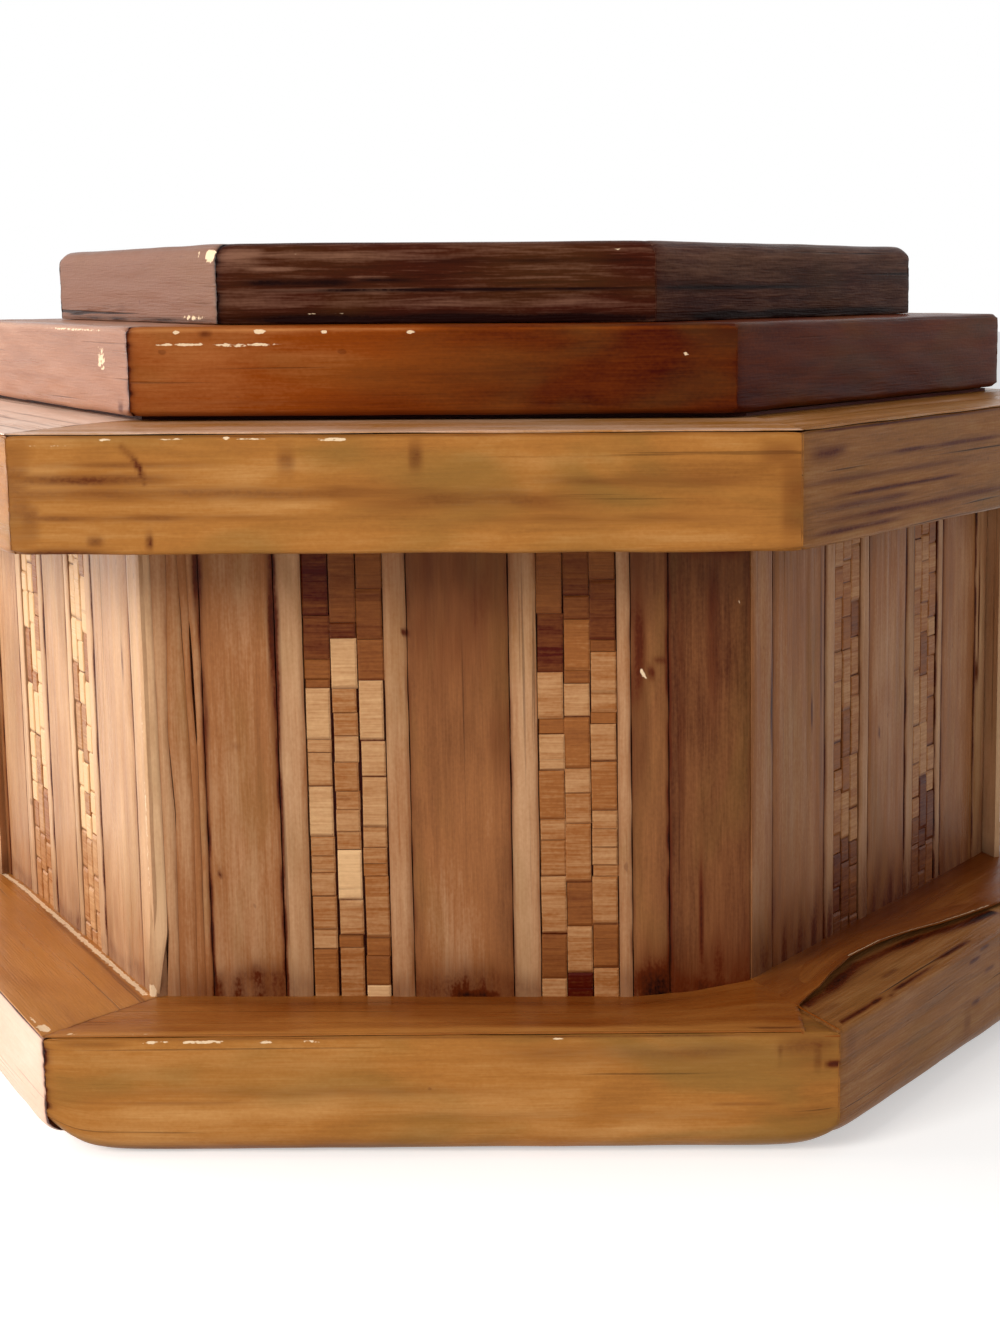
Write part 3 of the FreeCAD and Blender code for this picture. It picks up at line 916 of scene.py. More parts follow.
# On the left wall the edges as packed, then where the photo has them, and how far the wall leans out:
# places along it, then distances; all in millimetres
LEFT_EDGES = ((-46.7, -40.2, -21.9, -18.2, -8.5, -5.0, 9.8, 13.5, 23.0, 25.6, 40.6, 46.7),
              (-46.7, -42.8, -29.6, -25.9, -14.6, -10.9, 3.8, 6.5, 17.0, 20.8, 41.8, 46.7))
LEFT_LEAN = ((-50, -34, -9, 40, 48), (2.4, 1.5, 1.2, 1.0, 0.6))


def laid_at(side, x):
    """Where an edge of the cladding lies along its wall."""
    return np.interp(x / MM, *LEFT_EDGES) * MM if side == "front_left" else x


def lean(side, x):
    """How far a wall's cladding stands out at a place along it."""
    return np.interp(x / MM, *LEFT_LEAN) * MM if side == "front_left" else 0.0 * x


BURIED = 3 * MM  # the strips reach this far down behind the base


class Wall:
    """The planes between which a wall's cladding lies, in the front wall's place."""

    def __init__(self):
        low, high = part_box("wall_slats_front")
        self.face, self.back = low.y, high.y
        self.bottom, self.top = low.z - BURIED, high.z
        self.corner = -self.face / SIN60 / 2


def add_strip(form, wall, i, left, right, seed, look, last_joint, bulge=None, wobble=1.0):
    """Adds one upright strip or fibre, with its edges given as functions of height."""
    s = sizes()
    play = wobble * s.strip_wobble
    shade, joint, foot, heart_low = look
    fine = 2 * fineness(i)
    z = np.linspace(wall.bottom, wall.top, round((wall.top - wall.bottom) / (1.6 * fine)))[:, None]
    wide = (right(z) - left(z)).max()
    columns = max(4, round(wide / fine))
    share = np.linspace(0, 1, columns + 1)[None, :]
    x0 = left(z) + play * waves(seed, z, 0 * z, 14 * MM, 1)
    x1 = right(z) - play * waves(seed + 1, z, 0 * z, 14 * MM, 1)
    front_x = x0 + (x1 - x0) * share
    drop = s.strip_crown * (1 - np.minimum(1, 4 * share * (1 - share) * min(3.0, wide / (2 * MM))))
    drop = drop + 0.12 * MM * waves(seed + 2, front_x, z, 3 * MM, 60 * MM)
    if bulge:
        drop = drop - bulge(z)
    x = np.concatenate([front_x, x1, x0], axis=1)
    front_y = wall.face + drop - lean(SIDES[i], front_x)
    y = np.concatenate([front_y, wall.back + 0 * z, wall.back + 0 * z], axis=1)
    height = z + 0 * x
    around = np.concatenate([share, [[1.0, 0.0]]], axis=1)
    heart = 1 - (2 * around - 1) ** 2
    low_share = np.clip((wall.top - height) / (wall.top - wall.bottom), 0, 1)
    tone = shade - 0.06 * (1 - heart) + heart_low * (0.4 + 0.6 * heart) * low_share ** 1.3

    def seam(distance, strength, other):
        wander = 0.3 + 1.4 * waves(other, height, 0 * x, 11 * MM, 1)
        return strength * wander * np.exp(-(distance / (0.32 * MM)) ** 2)

    stain = np.maximum(seam(around * wide, last_joint, seed + 3), seam((1 - around) * wide, joint, seed + 4))
    border = s.foot * (0.75 + 0.7 * waves(seed // 30, x, 0 * height, 22 * MM, 1))
    sunk = np.clip((wall.bottom + BURIED + border - height) / (3.5 * MM), 0, 1)
    stain = np.maximum(stain, foot * sunk * (0.8 + 0.3 * waves(seed + 5, x, height, 5 * MM, 9 * MM)))
    side = SIDES[i]
    # Wall marks: stains, and painted shadow under the rim
    stain = np.maximum(stain, painted(WALL_STAINS_AND_SHADE.get(side, ()), x, height, 40 + i, STAINED[::-1]))
    bare = painted(WALL_CHIPS.get(side, ()), x, height, 50 + i, CHIPPED[::-1])
    grain = np.stack([x, y - wall.face, height], axis=-1)
    turn = math.radians(60 * i)
    placed = np.stack([x * math.cos(turn) - y * math.sin(turn),
                       x * math.sin(turn) + y * math.cos(turn), height], axis=-1)
    form.add_loft(placed, flip=True, grain=grain, shade=tone, stain=stain, bare=bare, piece=(seed % 89) / 89)


def level(value):
    return lambda z: value + 0 * z


def through(*places):
    """A line up the wall through some places, given as height and distance along in millimetres."""
    heights, across = zip(*sorted(places))
    return lambda z: np.interp(z / MM, heights, across) * MM


def shifted(line, by):
    return lambda z: line(z) + by(z)


def opening(low, high, half_width):
    """Half the width of a crack that closes at both ends."""
    middle, half = (low + high) / 2, (high - low) / 2
    return lambda z: half_width * MM * np.sqrt(np.clip(1 - ((z / MM - middle) / half) ** 2, 0, 1))


def wedge(low, high, half_width):
    """Half the width of a crack that is open at the foot and closes further up."""
    return lambda z: half_width * MM * np.clip((high - z / MM) / (high - low), 0, 1)


def add_split_strip(form, wall, right, seed):
    """The strip at the front left corner has dried out and split along its fibres."""
    outer = through((17, -49.2), (30, -48.6), (46, -47.7), (62, -47.5), (92, -47.5))
    first = through((17, -47.1), (29, -45.8), (62, -46.0), (92, -46.2))
    second = through((17, -44.3), (49, -43.8), (62, -44.5), (92, -43.6))
    third = through((17, -41.4), (50, -40.9), (92, -42.0))
    fourth = through((17, -40.0), (58, -39.9), (68, -40.2), (77, -40.35), (92, -40.6))
    cracks = [wedge(17, 30, 0.75), opening(46, 60, 0.07), opening(70, 84, 0.04), opening(60, 79, 0.2)]
    lines = [outer, first, second, third, fourth, right]
    looks = ((0.92, 0.2, 0.1), (0.68, 0.25, 0.3), (0.60, 0.15, 0.3), (0.56, 0.2, 0.3), (0.56, 1.2, 0.5))
    for k, look in enumerate(looks):
        low = shifted(lines[k], cracks[k - 1]) if k else outer
        high = shifted(lines[k + 1], lambda z, crack=cracks[k]: -crack(z)) if k < len(cracks) else right
        bulge = (lambda z: 0.7 * MM * np.exp(-((z / MM - 24) / 6) ** 2)) if k == 0 else None
        add_strip(form, wall, 0, low, high, seed + 7 * k, (*look, 0.0), 0.15, bulge, wobble=0.2)


class BOX_OT_wall_strips(bpy.types.Operator):
    """Clads each wall with upright split-bamboo strips and narrow laths"""
    bl_idname = "box.wall_strips"
    bl_label = "Wall strips"

    def execute(self, context):
        wall = Wall()
        for i, side in enumerate(SIDES):
            node = f"wall_slats_{side}"
            pairs = edge_pairs(node, i)
            form = Form()
            joint = 0.0
            before, after = of_side(END_GAPS, side)
            for k, ((x0, x1), look) in enumerate(zip(pairs, WALL_STRIPS[side])):
                seed = 500 + 40 * i + 3 * k
                first, last = k == 0, k == len(pairs) - 1
                x0 = before * MM - wall.corner if first else laid_at(side, x0) - sizes().strip_spread
                x1 = wall.corner - after * MM if last else laid_at(side, x1) + sizes().strip_spread
                if side == "front" and first:
                    add_split_strip(form, wall, level(x1), seed)
                else:
                    add_strip(form, wall, i, level(x0), level(x1), seed, look, last_joint=joint)
                joint = look[1]
            piece = form.to_object(f"wall_strips_{side}", finish("strip_bamboo_look"))
            stand_for(piece, "box", "wall_bamboo", node)
        return {"FINISHED"}


# What repeats

class Geometry(Nodes):
    """A geometry tree with named inputs."""

    def __init__(self, name):
        super().__init__(bpy.data.node_groups.new(name, "GeometryNodeTree"))
        face = self.tree.interface
        face.new_socket("Geometry", in_out="INPUT", socket_type="NodeSocketGeometry")
        face.new_socket("Geometry", in_out="OUTPUT", socket_type="NodeSocketGeometry")
        self.start = self.tree.nodes.new("NodeGroupInput")
        self.settings = {}

    def input(self, name, kind, value):
        """A named input, kept with the value that the modifier will get."""
        self.tree.interface.new_socket(name, in_out="INPUT", socket_type=kind)
        self.settings[name] = value
        return self.start.outputs[name]

    def named(self, name, kind="FLOAT"):
        made = self.add("GeometryNodeInputNamedAttribute", {"Name": name}, data_type=kind)
        return made.outputs["Attribute"]

    def store(self, geometry, name, value, kind="FLOAT"):
        inputs = {"Geometry": geometry, "Name": name, "Value": value}
        made = self.add("GeometryNodeStoreNamedAttribute", inputs, data_type=kind, domain="POINT")
        return made.outputs[0]

    def parts(self, vector):
        return self.add("ShaderNodeSeparateXYZ", {0: vector}).outputs

    def join(self, x, y, z):
        return self.add("ShaderNodeCombineXYZ", {0: x, 1: y, 2: z}).outputs[0]

    def random(self, low, high, seed):
        inputs = {"Min": low, "Max": high, "Seed": seed}
        return self.add("FunctionNodeRandomValue", inputs, data_type="FLOAT_VECTOR").outputs["Value"]

    def moved(self, geometry, place):
        """The same geometry with its points in other places."""
        return self.add("GeometryNodeSetPosition", {"Geometry": geometry, "Position": place}).outputs[0]

    def end(self, geometry, material):
        """Gives the geometry its finish and closes the tree."""
        whole = self.add("GeometryNodeSetMaterial", {"Geometry": geometry, "Material": material})
        output = self.tree.nodes.new("NodeGroupOutput")
        self.tree.links.new(whole.outputs[0], output.inputs[0])

    def apply_to(self, mesh, name):
        """Runs the tree on a mesh and returns the result as a plain object."""
        carrier = bpy.data.objects.new(name + "_source", mesh)
        bpy.context.scene.collection.objects.link(carrier)
        modifier = carrier.modifiers.new("repeat", "NODES")
        modifier.node_group = self.tree
        for item in self.tree.interface.items_tree:
            if item.name in self.settings:
                modifier[item.identifier] = self.settings[item.name]
        graph = bpy.context.evaluated_depsgraph_get()
        made = bpy.data.meshes.new_from_object(carrier.evaluated_get(graph))
        carrier.modifiers.remove(modifier)
        bpy.data.objects.remove(carrier)
        made.name = name
        piece = bpy.data.objects.new(name, made)
        bpy.context.scene.collection.objects.link(piece)
        return piece


def brick_tree(material):
    """Bricks on points: each is a block with a worn face, set a little unevenly."""
    tree = Geometry("wall_bricks")
    s = sizes()
    margin = tree.input("Edge share", "NodeSocketFloat", 0.07)
    sink = tree.input("Edge drop", "NodeSocketFloat", 0.14)
    relief = tree.input("Relief", "NodeSocketFloat", s.brick_relief)
    play = tree.input("Play", "NodeSocketFloat", s.brick_play)
    seed = tree.input("Seed", "NodeSocketInt", studio().seed)
    look = tree.input("Finish", "NodeSocketMaterial", material)

    block = tree.add("GeometryNodeMeshCube", {"Size": (1, 1, 1), "Vertices X": 4, "Vertices Y": 2,
                                              "Vertices Z": 4}).outputs["Mesh"]
    x, y, z = tree.parts(tree.add("GeometryNodeInputPosition").outputs[0])

    def pushed_out(value):
        """Moves the inner rows of points close to the block's edge."""
        outer = tree.sum("GREATER_THAN", tree.sum("ABSOLUTE", value), 0.3)
        inner_place = tree.sum("SUBTRACT", 0.5, margin)
        size = tree.sum("MULTIPLY_ADD", outer, margin, inner_place)
        return tree.sum("MULTIPLY", tree.sum("SIGN", value), size), outer

    new_x, outer_x = pushed_out(x)
    new_z, outer_z = pushed_out(z)
    on_face = tree.sum("LESS_THAN", y, 0.0)
    border = tree.sum("MULTIPLY", tree.sum("MAXIMUM", outer_x, outer_z), on_face)
    # Painted joint shade: the lower border of each brick's face, darkened by the brick's edge value
    lower_edge_shade = tree.sum("MULTIPLY", tree.sum("MULTIPLY", outer_z, on_face), tree.sum("LESS_THAN", z, 0.0))
    block = tree.store(block, "stain", lower_edge_shade)
    new_y = tree.sum("MULTIPLY_ADD", border, sink, y)
    block = tree.moved(block, tree.join(new_x, new_y, new_z))

    size = tree.named("size", "FLOAT_VECTOR")
    tilt = tree.random((0, -0.012, 0), (0, 0.012, 0), seed)
    placed = tree.add("GeometryNodeInstanceOnPoints",
                      {"Points": tree.start.outputs[0], "Instance": block, "Scale": size,
                       "Rotation": tilt}).outputs[0]
    reach = tree.join(play, relief, 0.0)
    shift = tree.vector("MULTIPLY", tree.random((-0.5, 0, 0), (0.5, 1, 0), tree.sum("ADD", seed, 1)), reach)
    placed = tree.add("GeometryNodeTranslateInstances",
                      {"Instances": placed, "Translation": shift, "Local Space": False}).outputs[0]
    solid = tree.add("GeometryNodeRealizeInstances", {"Geometry": placed}).outputs[0]
    place = tree.add("GeometryNodeInputPosition").outputs[0]
    solid = tree.store(solid, "grain", place, "FLOAT_VECTOR")
    solid = tree.store(solid, "stain", tree.sum("MULTIPLY", tree.named("stain"), tree.named("edge")))
    turned = tree.add("ShaderNodeVectorRotate", {"Vector": place, "Angle": tree.named("turn")},
                      rotation_type="Z_AXIS").outputs[0]
    tree.end(tree.moved(solid, turned), look)
    return tree


# Bricks of the front wall, column by column from the top: height of the lower joint, tone, and how dark the
# painted joint shade along that lower edge is
FRONT_BRICKS = (
    ((80.2, 0.06, 0.0), (73.3, 0.12, 0.0), (70.1, 0.34, 0.6), (68.7, 0.26, 0.4), (60.5, 0.76, 0.4),
     (58.4, 0.64, 1.2), (52.9, 0.66, 1.2), (44.8, 0.76, 0.6), (41.6, 0.58, 0.5), (38.8, 0.56, 0.2),
     (35.0, 0.60, 0.7), (29.6, 0.58, 0.5), (26.3, 0.60, 0.7), (17, 0.48, 0.0)),
    ((79.1, 0.26, 0.2), (76.6, 0.14, 0.8), (68.6, 0.78, 0.7), (64.7, 0.58, 0.6), (61.0, 0.60, 0.8),
     (56.8, 0.66, 0.3), (52.1, 0.54, 0.4), (49.1, 0.62, 0.3), (45.5, 0.66, 0.8), (42.6, 0.56, 1.0),
     (34.4, 0.96, 1.2), (28.6, 0.66, 1.3), (26.6, 0.46, 0.7), (17, 0.56, 0.0)),
    ((84.4, 0.32, 0.8), (76.4, 0.24, 0.0), (69.9, 0.30, 0.9), (60.2, 0.78, 1.2), (54.4, 0.70, 1.3),
     (46.3, 0.68, 0.7), (42.9, 0.62, 0.6), (40.3, 0.60, 0.5), (38.3, 0.54, 0.4), (28.1, 0.58, 0.8),
     (25.1, 0.46, 0.2), (20.3, 0.36, 0.3), (17, 0.90, 0.0)),
    ((80.4, 0.32, 0.4), (71.1, 0.14, 1.0), (63.7, 0.62, 0.3), (61.2, 0.38, 1.2), (55.4, 0.66, 1.0),
     (47.5, 0.48, 0.5), (44.1, 0.58, 0.6), (38.2, 0.52, 0.8), (28.7, 0.58, 1.3), (21.4, 0.30, 0.5),
     (17, 0.62, 0.0)),
    ((83.2, 0.20, 1.6), (79.4, 0.24, 1.0), (71.4, 0.50, 0.3), (69.3, 0.38, 1.3), (63.9, 0.66, 1.2),
     (55.7, 0.46, 0.5), (51.7, 0.64, 0.8), (46.8, 0.58, 0.4), (37.2, 0.54, 1.1), (30.0, 0.30, 0.6),
     (22.3, 0.60, 1.0), (17, 0.0, 0.0)),
    ((85.7, 0.36, 1.0), (76.2, 0.16, 1.3), (74.3, 0.30, 0.6), (64.7, 0.58, 0.2), (62.8, 0.42, 1.3),
     (56.8, 0.62, 1.0), (48.9, 0.52, 0.7), (45.9, 0.64, 0.3), (42.9, 0.60, 0.6), (40.0, 0.58, 0.5),
     (38.2, 0.54, 0.4), (30.3, 0.58, 1.1), (23.1, 0.34, 0.8), (17, 0.58, 0.0)),
)
# Tones of the darker, paler and lowest bricks on the other walls, and how dark the painted joint shade along
# their lower edges is; the left wall's tones are raised by painted sheen of the light from the left
BRICK_TONES = {"all": (0.3, 0.7, 0.3, 0.8), "front_right": (0.34, 0.56, 0.16, 1.6),
               "front_left": (0.56, 1.08, 0.62, 1.2)}
DARK_BRICKS = 0.28             # share of the darker ones
BRICK_HEIGHTS = (3.2, 10.5)    # least and most, in millimetres
LOWEST_BRICK = 9 * MM          # below this height a column ends in one last brick
STAINED_BRICKS = 13 * MM       # height above the base of those with the lowest bricks' tone
BRICK_SINK = 0.22 * MM         # how far the bricks lie behind the strips
BRICK_SPREAD = 0.12 * MM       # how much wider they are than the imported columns
BED_JOINT = 0.04 * MM
TIGHT_JOINT, OPEN_JOINT = 0.04 * MM, 0.34 * MM  # upright joints; those of the left columns are open
OPEN_BELOW = 72 * MM           # up to this height, and on the whole of the left wall


def brick_column(side, column, wall, source):
    """Lower edge, upper edge, tone and darkness of the painted joint shade along the lower edge of each brick
    in a column.
    """
    if side == "front":
        places = FRONT_BRICKS[column]
    else:
        dark, pale, foot, joint = of_side(BRICK_TONES, side)
        low = wall.top
        places = []
        while low > wall.bottom + LOWEST_BRICK:
            low -= source.uniform(*BRICK_HEIGHTS) * MM
            stained = low < wall.bottom + BURIED + STAINED_BRICKS
            tone = foot if stained else dark if source.random() < DARK_BRICKS else pale
            places.append((low / MM, tone + source.uniform(-0.08, 0.08), joint * source.uniform(0.1, 1)))
        places.append((wall.bottom / MM, foot, 0.0))
    top = wall.top
    for low, tone, joint in places:
        yield low * MM, top, tone, joint
        top = low * MM


class BOX_OT_wall_bricks(bpy.types.Operator):
    """Lays the columns of small bricks between the laths of every wall"""
    bl_idname = "box.wall_bricks"
    bl_label = "Wall bricks"

    def execute(self, context):
        wall = Wall()
        source = np.random.default_rng(studio().seed)
        centres, block_sizes, shades, edges, turns = [], [], [], [], []
        for i, side in enumerate(SIDES):
            for column, pair in enumerate(edge_pairs(f"wall_tiles_{side}", i)):
                x0, x1 = [laid_at(side, x) for x in pair]
                middle = (x0 + x1) / 2
                for low, high, tone, edge in brick_column(side, column, wall, source):
                    is_open = side == "front_left" or column < 3 and high < OPEN_BELOW
                    slack = OPEN_JOINT if is_open else TIGHT_JOINT
                    centres.append((middle, (wall.face + BRICK_SINK + wall.back) / 2 - lean(side, middle),
                                    (low + high) / 2))
                    block_sizes.append((x1 - x0 + BRICK_SPREAD - slack, wall.back - wall.face - BRICK_SINK,
                                        high - low - BED_JOINT))
                    shades.append(tone)
                    edges.append(edge)
                    turns.append(math.radians(60 * i))
        mesh = bpy.data.meshes.new("brick_places")
        mesh.from_pydata(centres, [], [])
        size_values = np.array(block_sizes, np.float32).ravel()
        mesh.attributes.new("size", "FLOAT_VECTOR", "POINT").data.foreach_set("vector", size_values)
        for key, values in {"shade": shades, "edge": edges, "turn": turns,
                            "piece": source.random(len(shades)), "bare": np.zeros(len(shades))}.items():
            mesh.attributes.new(key, "FLOAT", "POINT").data.foreach_set("value", np.array(values, np.float32))
        piece = brick_tree(finish("brick_bamboo_look")).apply_to(mesh, "wall_bricks")
        stand_for(piece, "box", "brick_bamboo", *(f"wall_tiles_{side}" for side in SIDES))
        return {"FINISHED"}


def slat_tree(material, low, high, count):
    """Slats side by side across a six-sided field, each crowned and cut off along the outline."""
    tree = Geometry("top_slats")
    width, depth = high.x - low.x, high.y - low.y
    pitch_value = depth / count
    number = tree.input("Slats", "NodeSocketInt", count)
    pitch = tree.input("Pitch", "NodeSocketFloat", pitch_value)
    gap = tree.input("Gap", "NodeSocketFloat", 0.35 * MM)
    thick = tree.input("Thickness", "NodeSocketFloat", high.z - low.z)
    crown = tree.input("Crown", "NodeSocketFloat", 0.45 * MM)
    seed = tree.input("Seed", "NodeSocketInt", studio().seed)
    look = tree.input("Finish", "NodeSocketMaterial", material)

    slat_size = tree.join(width, tree.sum("SUBTRACT", pitch, gap), thick)
    slat = tree.add("GeometryNodeMeshCube", {"Size": slat_size, "Vertices X": 60, "Vertices Y": 7,
                                             "Vertices Z": 2}).outputs["Mesh"]
    x, y, z = tree.parts(tree.add("GeometryNodeInputPosition").outputs[0])
    from_middle = tree.sum("DIVIDE", tree.sum("MULTIPLY", y, 2.0), pitch)
    fall = tree.sum("MULTIPLY", tree.sum("MULTIPLY", from_middle, from_middle), crown)
    is_top = tree.sum("GREATER_THAN", z, 0.0)
    new_z = tree.sum("SUBTRACT", z, tree.sum("MULTIPLY", fall, is_top))
    slat = tree.moved(slat, tree.join(x, y, new_z))

    middle = (low + high) / 2
    line = tree.add("GeometryNodeMeshLine",
                    {"Count": number, "Start Location": (middle.x, low.y + pitch_value / 2, middle.z),
                     "Offset": tree.join(0.0, pitch, 0.0)}).outputs[0]
    index = tree.add("GeometryNodeInputIndex").outputs[0]
    chance = tree.add("FunctionNodeRandomValue", {2: 0.25, 3: 0.62, "ID": index, "Seed": seed},
                      data_type="FLOAT").outputs[1]
    line = tree.store(line, "shade", chance)
    line = tree.store(line, "piece", tree.sum("MULTIPLY", index, 0.137))
    placed = tree.add("GeometryNodeInstanceOnPoints", {"Points": line, "Instance": slat}).outputs[0]
    solid = tree.add("GeometryNodeRealizeInstances", {"Geometry": placed}).outputs[0]
    px, py, pz = tree.parts(tree.add("GeometryNodeInputPosition").outputs[0])
    reach = tree.sum("SUBTRACT", width / 2, tree.sum("DIVIDE", tree.sum("ABSOLUTE", py), 2 * SIN60))
    aside = tree.sum("SUBTRACT", px, middle.x)
    cut = tree.sum("MAXIMUM", tree.sum("MINIMUM", aside, reach), tree.sum("MULTIPLY", reach, -1.0))
    solid = tree.moved(solid, tree.join(tree.sum("ADD", cut, middle.x), py, pz))
    solid = tree.store(solid, "grain", tree.add("GeometryNodeInputPosition").outputs[0], "FLOAT_VECTOR")
    tree.end(solid, look)
    return tree


class BOX_OT_top_slats(bpy.types.Operator):
    """Lays the slats on top of the lid"""
    bl_idname = "box.top_slats"
    bl_label = "Top slats"

    def execute(self, context):
        low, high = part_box("lid_top_slats")
        count = len(read_steps([v.co.y for v in frame["nodes"]["lid_top_slats"].data.vertices])) // 2
        mesh = bpy.data.meshes.new("slat_start")
        piece = slat_tree(finish("top_bamboo_look"), low, high, count).apply_to(mesh, "top_slats")
        stand_for(piece, "lid", "wall_bamboo", "lid_top_slats")
        return {"FINISHED"}


# Lid

STEP_STAINS = {
    "front": [(-34.1, -1.2, 0.9, 0.5, 0.9), (10, -7.4, 20, 0.4, 0.3), (-25, -11.6, 20, 0.4, 0.3),
              (0, -13.2, 46, 0.5, 0.6), (26, -9.5, 18, 1.2, 0.3), (38, -3, 8, 1.4, 0.35)],
    "front_left": [(46, -12.5, 1.4, 1.0, 0.9), (-10, -9, 30, 0.4, 0.2)],
    "front_right": [(0, -7, 50, 7, 0.35), (-10, -4, 30, 0.4, 0.9)],
}
STEP_CHIPS = {
    "front": [(-38, -2.8, 4.5, 0.25, 0.8), (-28, -2.9, 5.5, 0.28, 0.85), (-25.8, -0.9, 0.9, 0.4, 1.2),
              (-38.5, -0.9, 0.5, 0.35, 0.9), (-16, -1.0, 0.5, 0.3, 0.9), (-3, -1.1, 1.0, 0.3, 0.8),
              (8, -1.0, 0.4, 0.3, 0.8), (38.5, -4.6, 0.35, 0.3, 1.0)],
    "front_left": [(36.5, -5.4, 2.4, 2.4, 0.62), (20, -0.8, 20, 0.3, 0.6)],
}
# The rubs along the top edge of the front and left lengths are painted highlight on that edge
STEP_RUBS_AND_HIGHLIGHTS = {"front": [(-20, -0.6, 27, 0.4, 1.3), (26, -0.6, 20, 0.3, 0.7), (-36, -8, 8, 5, 0.3)],
             "front_left": [(0, -0.4, 50, 0.8, 0.8)]}
CROWN_STAINS = {
    "front": [(-21, -6.1, 8, 0.5, 2.0), (-8, -5.8, 4, 0.3, 1.5), (5, -7.3, 27, 0.2, 1.7),
              (0, -11.7, 34, 0.8, 1.7), (12, -3.0, 16, 0.4, 0.6)],
    "front_right": [(-20, -7.2, 26, 0.3, 1.8), (0, -11.6, 46, 0.7, 1.5)],
    "front_left": [(0, -11.9, 46, 0.4, 0.8)],
}
CROWN_CHIPS = {
    "front": [(-20, -1.6, 3, 0.18, 0.6), (28, -1.2, 0.6, 0.2, 0.6), (-18, -10.9, 5, 0.18, 0.5)],
    "front_left": [(43.4, -1.7, 2.0, 1.1, 1.5), (38, -1.2, 0.6, 1.2, 0.7), (34, -11.4, 7, 0.45, 0.6)],
}
# The rub over the whole left-facing length paints in sheen of the light from the left
CROWN_RUBS_AND_SHEEN = {"front": [(-30, -1.8, 3.6, 1.6, 1.6), (-8, -2.4, 12, 0.7, 0.6), (10, -9.2, 22, 0.6, 0.6),
                        (-19, -2.0, 9, 0.3, 1.4), (-25, -4.0, 4, 0.25, 1.6), (-10, -5.3, 3, 0.25, 1.4),
                        (-14, -7.2, 12, 0.25, 1.2), (12, -5.6, 10, 0.25, 0.8)],
              "front_left": [(0, -6, 50, 6, 0.9)], "front_right": [(0, -2.0, 50, 2.0, 0.5)]}


# The lower step's left-facing length takes the mauve look: painted sheen of the light from the left
STEP_TONES = {"all": (0.5, 0.5), "front": (0.66, 0.50, 0.12, 0.06), "front_left": (0.48, 0.38),
              "front_right": (0.10, 0.14)}
STEP_LOOKS = {"all": "amber_bamboo_look", "front_left": "mauve_bamboo_look"}
# The upper step's left-facing length is near its palest tone: painted sheen of the light from the left
CROWN_TONES = {"all": (0.5, 0.5), "front": (0.54, 0.54), "front_left": (0.99, 0.96),
               "front_right": (0.58, 0.62)}
CROWN_LOOKS = {"all": "cocoa_bamboo_look"}
CROWN_FOOT_ROUND = 0.2 * MM
LID_END_WEAR = 0.3


def make_lid_ring(name, ring, rounds, looks, slot, seed, painting):
    """Makes one of the lid's two rings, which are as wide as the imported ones."""
    low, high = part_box(f"{ring}_front")
    inner = inset(ring_corners(ring), high.y - low.y)
    make_ring(name, ring, inner, rounds, 0.0, looks, "lid", slot, CRISP, seed, painting,
              end_wear=LID_END_WEAR)


class BOX_OT_lid_step(bpy.types.Operator):
    """Makes the six lengths of the lid's lower step, amber to red-brown"""
    bl_idname = "box.lid_step"
    bl_label = "Lid, lower step"

    def execute(self, context):
        make_lid_ring("lid_step", "lid_lower_rail", (sizes().edge_round, sizes().edge_round), STEP_LOOKS,
                      "amber_bamboo", 600, (STEP_TONES, STEP_STAINS, STEP_CHIPS, STEP_RUBS_AND_HIGHLIGHTS))
        return {"FINISHED"}


class BOX_OT_lid_crown(bpy.types.Operator):
    """Makes the six lengths of the lid's upper step, dark and rounded on top"""
    bl_idname = "box.lid_crown"
    bl_label = "Lid, upper step"

    def execute(self, context):
        make_lid_ring("lid_crown", "lid_upper_rail", (CROWN_FOOT_ROUND, sizes().crown_round), CROWN_LOOKS,
                      "dark_bamboo", 700, (CROWN_TONES, CROWN_STAINS, CROWN_CHIPS, CROWN_RUBS_AND_SHEEN))
        return {"FINISHED"}


class BOX_OT_boards(bpy.types.Operator):
    """Gives the plywood boards, walls and lip their finish"""
    bl_idname = "box.boards"
    bl_label = "Boards"

    def execute(self, context):
        for row in frame["record"]["subparts"]:
            if row["material_slot"] == "plywood":
                mesh = frame["nodes"][row["node"]].data
                mesh.materials.clear()
                mesh.materials.append(finish("plywood_look"))
        return {"FINISHED"}


# Stage

WHITE = (1, 1, 1, 1)
FLOOR_REACH = 6.0  # from the middle to each edge
FLOOR_LIFT = 0.45  # light of its own that the camera sees on the floor


def seen_directly(nodes):
    """1 for what the camera, a mirror or glass sees, and 0 for the light on the object."""
    path = nodes.add("ShaderNodeLightPath").outputs
    seen = nodes.sum("MAXIMUM", path["Is Camera Ray"], path["Is Glossy Ray"])
    return nodes.sum("MAXIMUM", seen, path["Is Transmission Ray"])


def soft_lamp(name, place, width, power, tint, aim):
    lamp = bpy.data.lights.new(name, "AREA")
    lamp.shape, lamp.size, lamp.energy, lamp.color = "SQUARE", width, power, tint
    holder = bpy.data.objects.new(name, lamp)
    holder.location = place
    holder.rotation_euler = (Vector(aim) - Vector(place)).to_track_quat("-Z", "Y").to_euler()
    bpy.context.scene.collection.objects.link(holder)


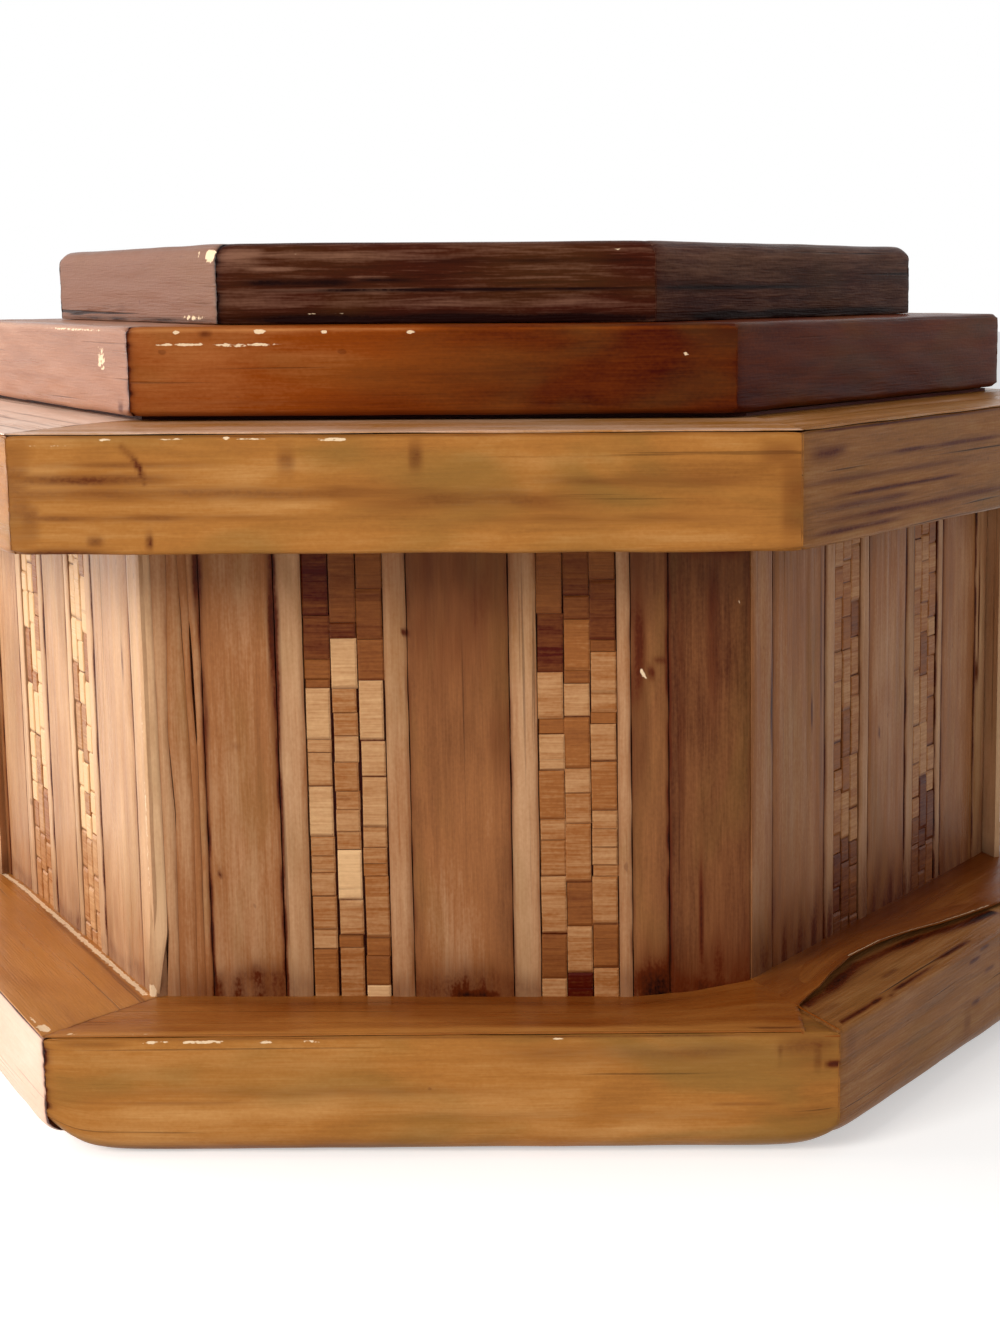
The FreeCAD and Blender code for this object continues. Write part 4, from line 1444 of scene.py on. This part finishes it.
class BOX_OT_stage(bpy.types.Operator):
    """Sets up the pale floor, the white surroundings, the soft lamps and the camera"""
    bl_idname = "box.stage"
    bl_label = "Stage"

    def execute(self, context):
        scene, setup = context.scene, studio()
        scene.view_settings.view_transform = "Standard"
        self.make_world(scene, setup)
        self.make_floor()
        aim = (0, 0, 0.06)
        soft_lamp("key_lamp", (-0.95, -1.30, 0.85), 0.7, setup.key, (1.0, 0.97, 0.92), aim)
        soft_lamp("window_light", (-1.20, 0.25, 0.40), 0.9, setup.window, (1.0, 0.93, 0.88), aim)
        soft_lamp("fill_lamp", (1.00, -1.15, 0.60), 0.9, setup.fill, (1.0, 0.97, 0.94), aim)
        self.make_camera(scene, setup)
        return {"FINISHED"}

    def make_world(self, scene, setup):
        world = bpy.data.worlds.new("studio")
        world.use_nodes = True
        world.node_tree.nodes.clear()
        nodes = Nodes(world.node_tree)
        ambient = nodes.add("ShaderNodeBackground", {"Color": WHITE, "Strength": setup.ambient})
        white = nodes.add("ShaderNodeBackground", {"Color": WHITE, "Strength": 1.0})
        both = nodes.add("ShaderNodeMixShader", {0: seen_directly(nodes), 1: ambient.outputs[0],
                                                 2: white.outputs[0]})
        nodes.add("ShaderNodeOutputWorld", {"Surface": both.outputs[0]})
        scene.world = world

    def make_floor(self):
        """A white floor; what the camera sees of it is lifted to white, and it keeps the shadow."""
        material, nodes = new_material("floor_white")
        place = nodes.add("ShaderNodeTexCoord").outputs["Object"]
        tooth = nodes.noise(place, (40, 40, 40), 1.0, 3.0)
        base = nodes.ramp(tooth, [(0.0, (0.80, 0.80, 0.80)), (1.0, (0.84, 0.84, 0.84))])
        matt = nodes.add("ShaderNodeBsdfDiffuse", {"Color": base})
        strength = nodes.sum("MULTIPLY", seen_directly(nodes), FLOOR_LIFT)
        lift = nodes.add("ShaderNodeEmission", {"Color": WHITE, "Strength": strength})
        both = nodes.add("ShaderNodeAddShader", {0: matt.outputs[0], 1: lift.outputs[0]})
        nodes.add("ShaderNodeOutputMaterial", {"Surface": both.outputs[0]})
        mesh = bpy.data.meshes.new("floor")
        corners = [(-1, -1), (1, -1), (1, 1), (-1, 1)]
        mesh.from_pydata([(x * FLOOR_REACH, y * FLOOR_REACH, 0) for x, y in corners], [], [(0, 1, 2, 3)])
        mesh.materials.append(material)
        floor = bpy.data.objects.new("floor", mesh)
        bpy.context.scene.collection.objects.link(floor)

    def make_camera(self, scene, setup):
        lens = bpy.data.cameras.new("camera")
        lens.sensor_width = 36
        lens.lens = lens.sensor_width * setup.focal_pixels / PHOTO_LONG_SIDE
        lens.shift_x = -setup.aside_pixels / PHOTO_LONG_SIDE
        lens.clip_start = 0.01
        camera = bpy.data.objects.new("camera", lens)
        turn = (Matrix.Rotation(setup.yaw, 3, "Z") @ Matrix.Rotation(math.pi / 2 - setup.pitch, 3, "X")
                @ Matrix.Rotation(setup.roll, 3, "Z"))
        camera.location = setup.place
        camera.rotation_euler = turn.to_euler()
        scene.collection.objects.link(camera)
        scene.camera = camera


class BOX_PT_panel(bpy.types.Panel):
    """Lists the steps and settings of the box"""
    bl_label = "Keepsake box"
    bl_idname = "BOX_PT_panel"
    bl_space_type = "VIEW_3D"
    bl_region_type = "UI"
    bl_category = "Box"

    def draw(self, context):
        for step in STEPS:
            self.layout.operator(step.bl_idname)
        for group in (colours(), sizes(), studio()):
            part = self.layout.box()
            for key in group.__annotations__:
                part.prop(group, key)


GROUPS = {"box_colours": BoxColours, "box_sizes": BoxSizes, "box_studio": Studio}
STEPS = (BOX_OT_base_mouldings, BOX_OT_rim_mouldings, BOX_OT_skins, BOX_OT_wall_strips,
         BOX_OT_wall_bricks, BOX_OT_lid_step, BOX_OT_lid_crown, BOX_OT_top_slats, BOX_OT_boards,
         BOX_OT_stage)


def register():
    for kind in (*GROUPS.values(), *STEPS, BOX_PT_panel):
        bpy.utils.register_class(kind)
    for name, kind in GROUPS.items():
        setattr(bpy.types.Scene, name, PointerProperty(type=kind))


def unregister():
    for name in GROUPS:
        delattr(bpy.types.Scene, name)
    for kind in (BOX_PT_panel, *reversed(STEPS), *GROUPS.values()):
        bpy.utils.unregister_class(kind)


def main():
    register()
    for step in STEPS:
        area, name = step.bl_idname.split(".")
        getattr(getattr(bpy.ops, area), name)()


if __name__ == "__main__":
    main()
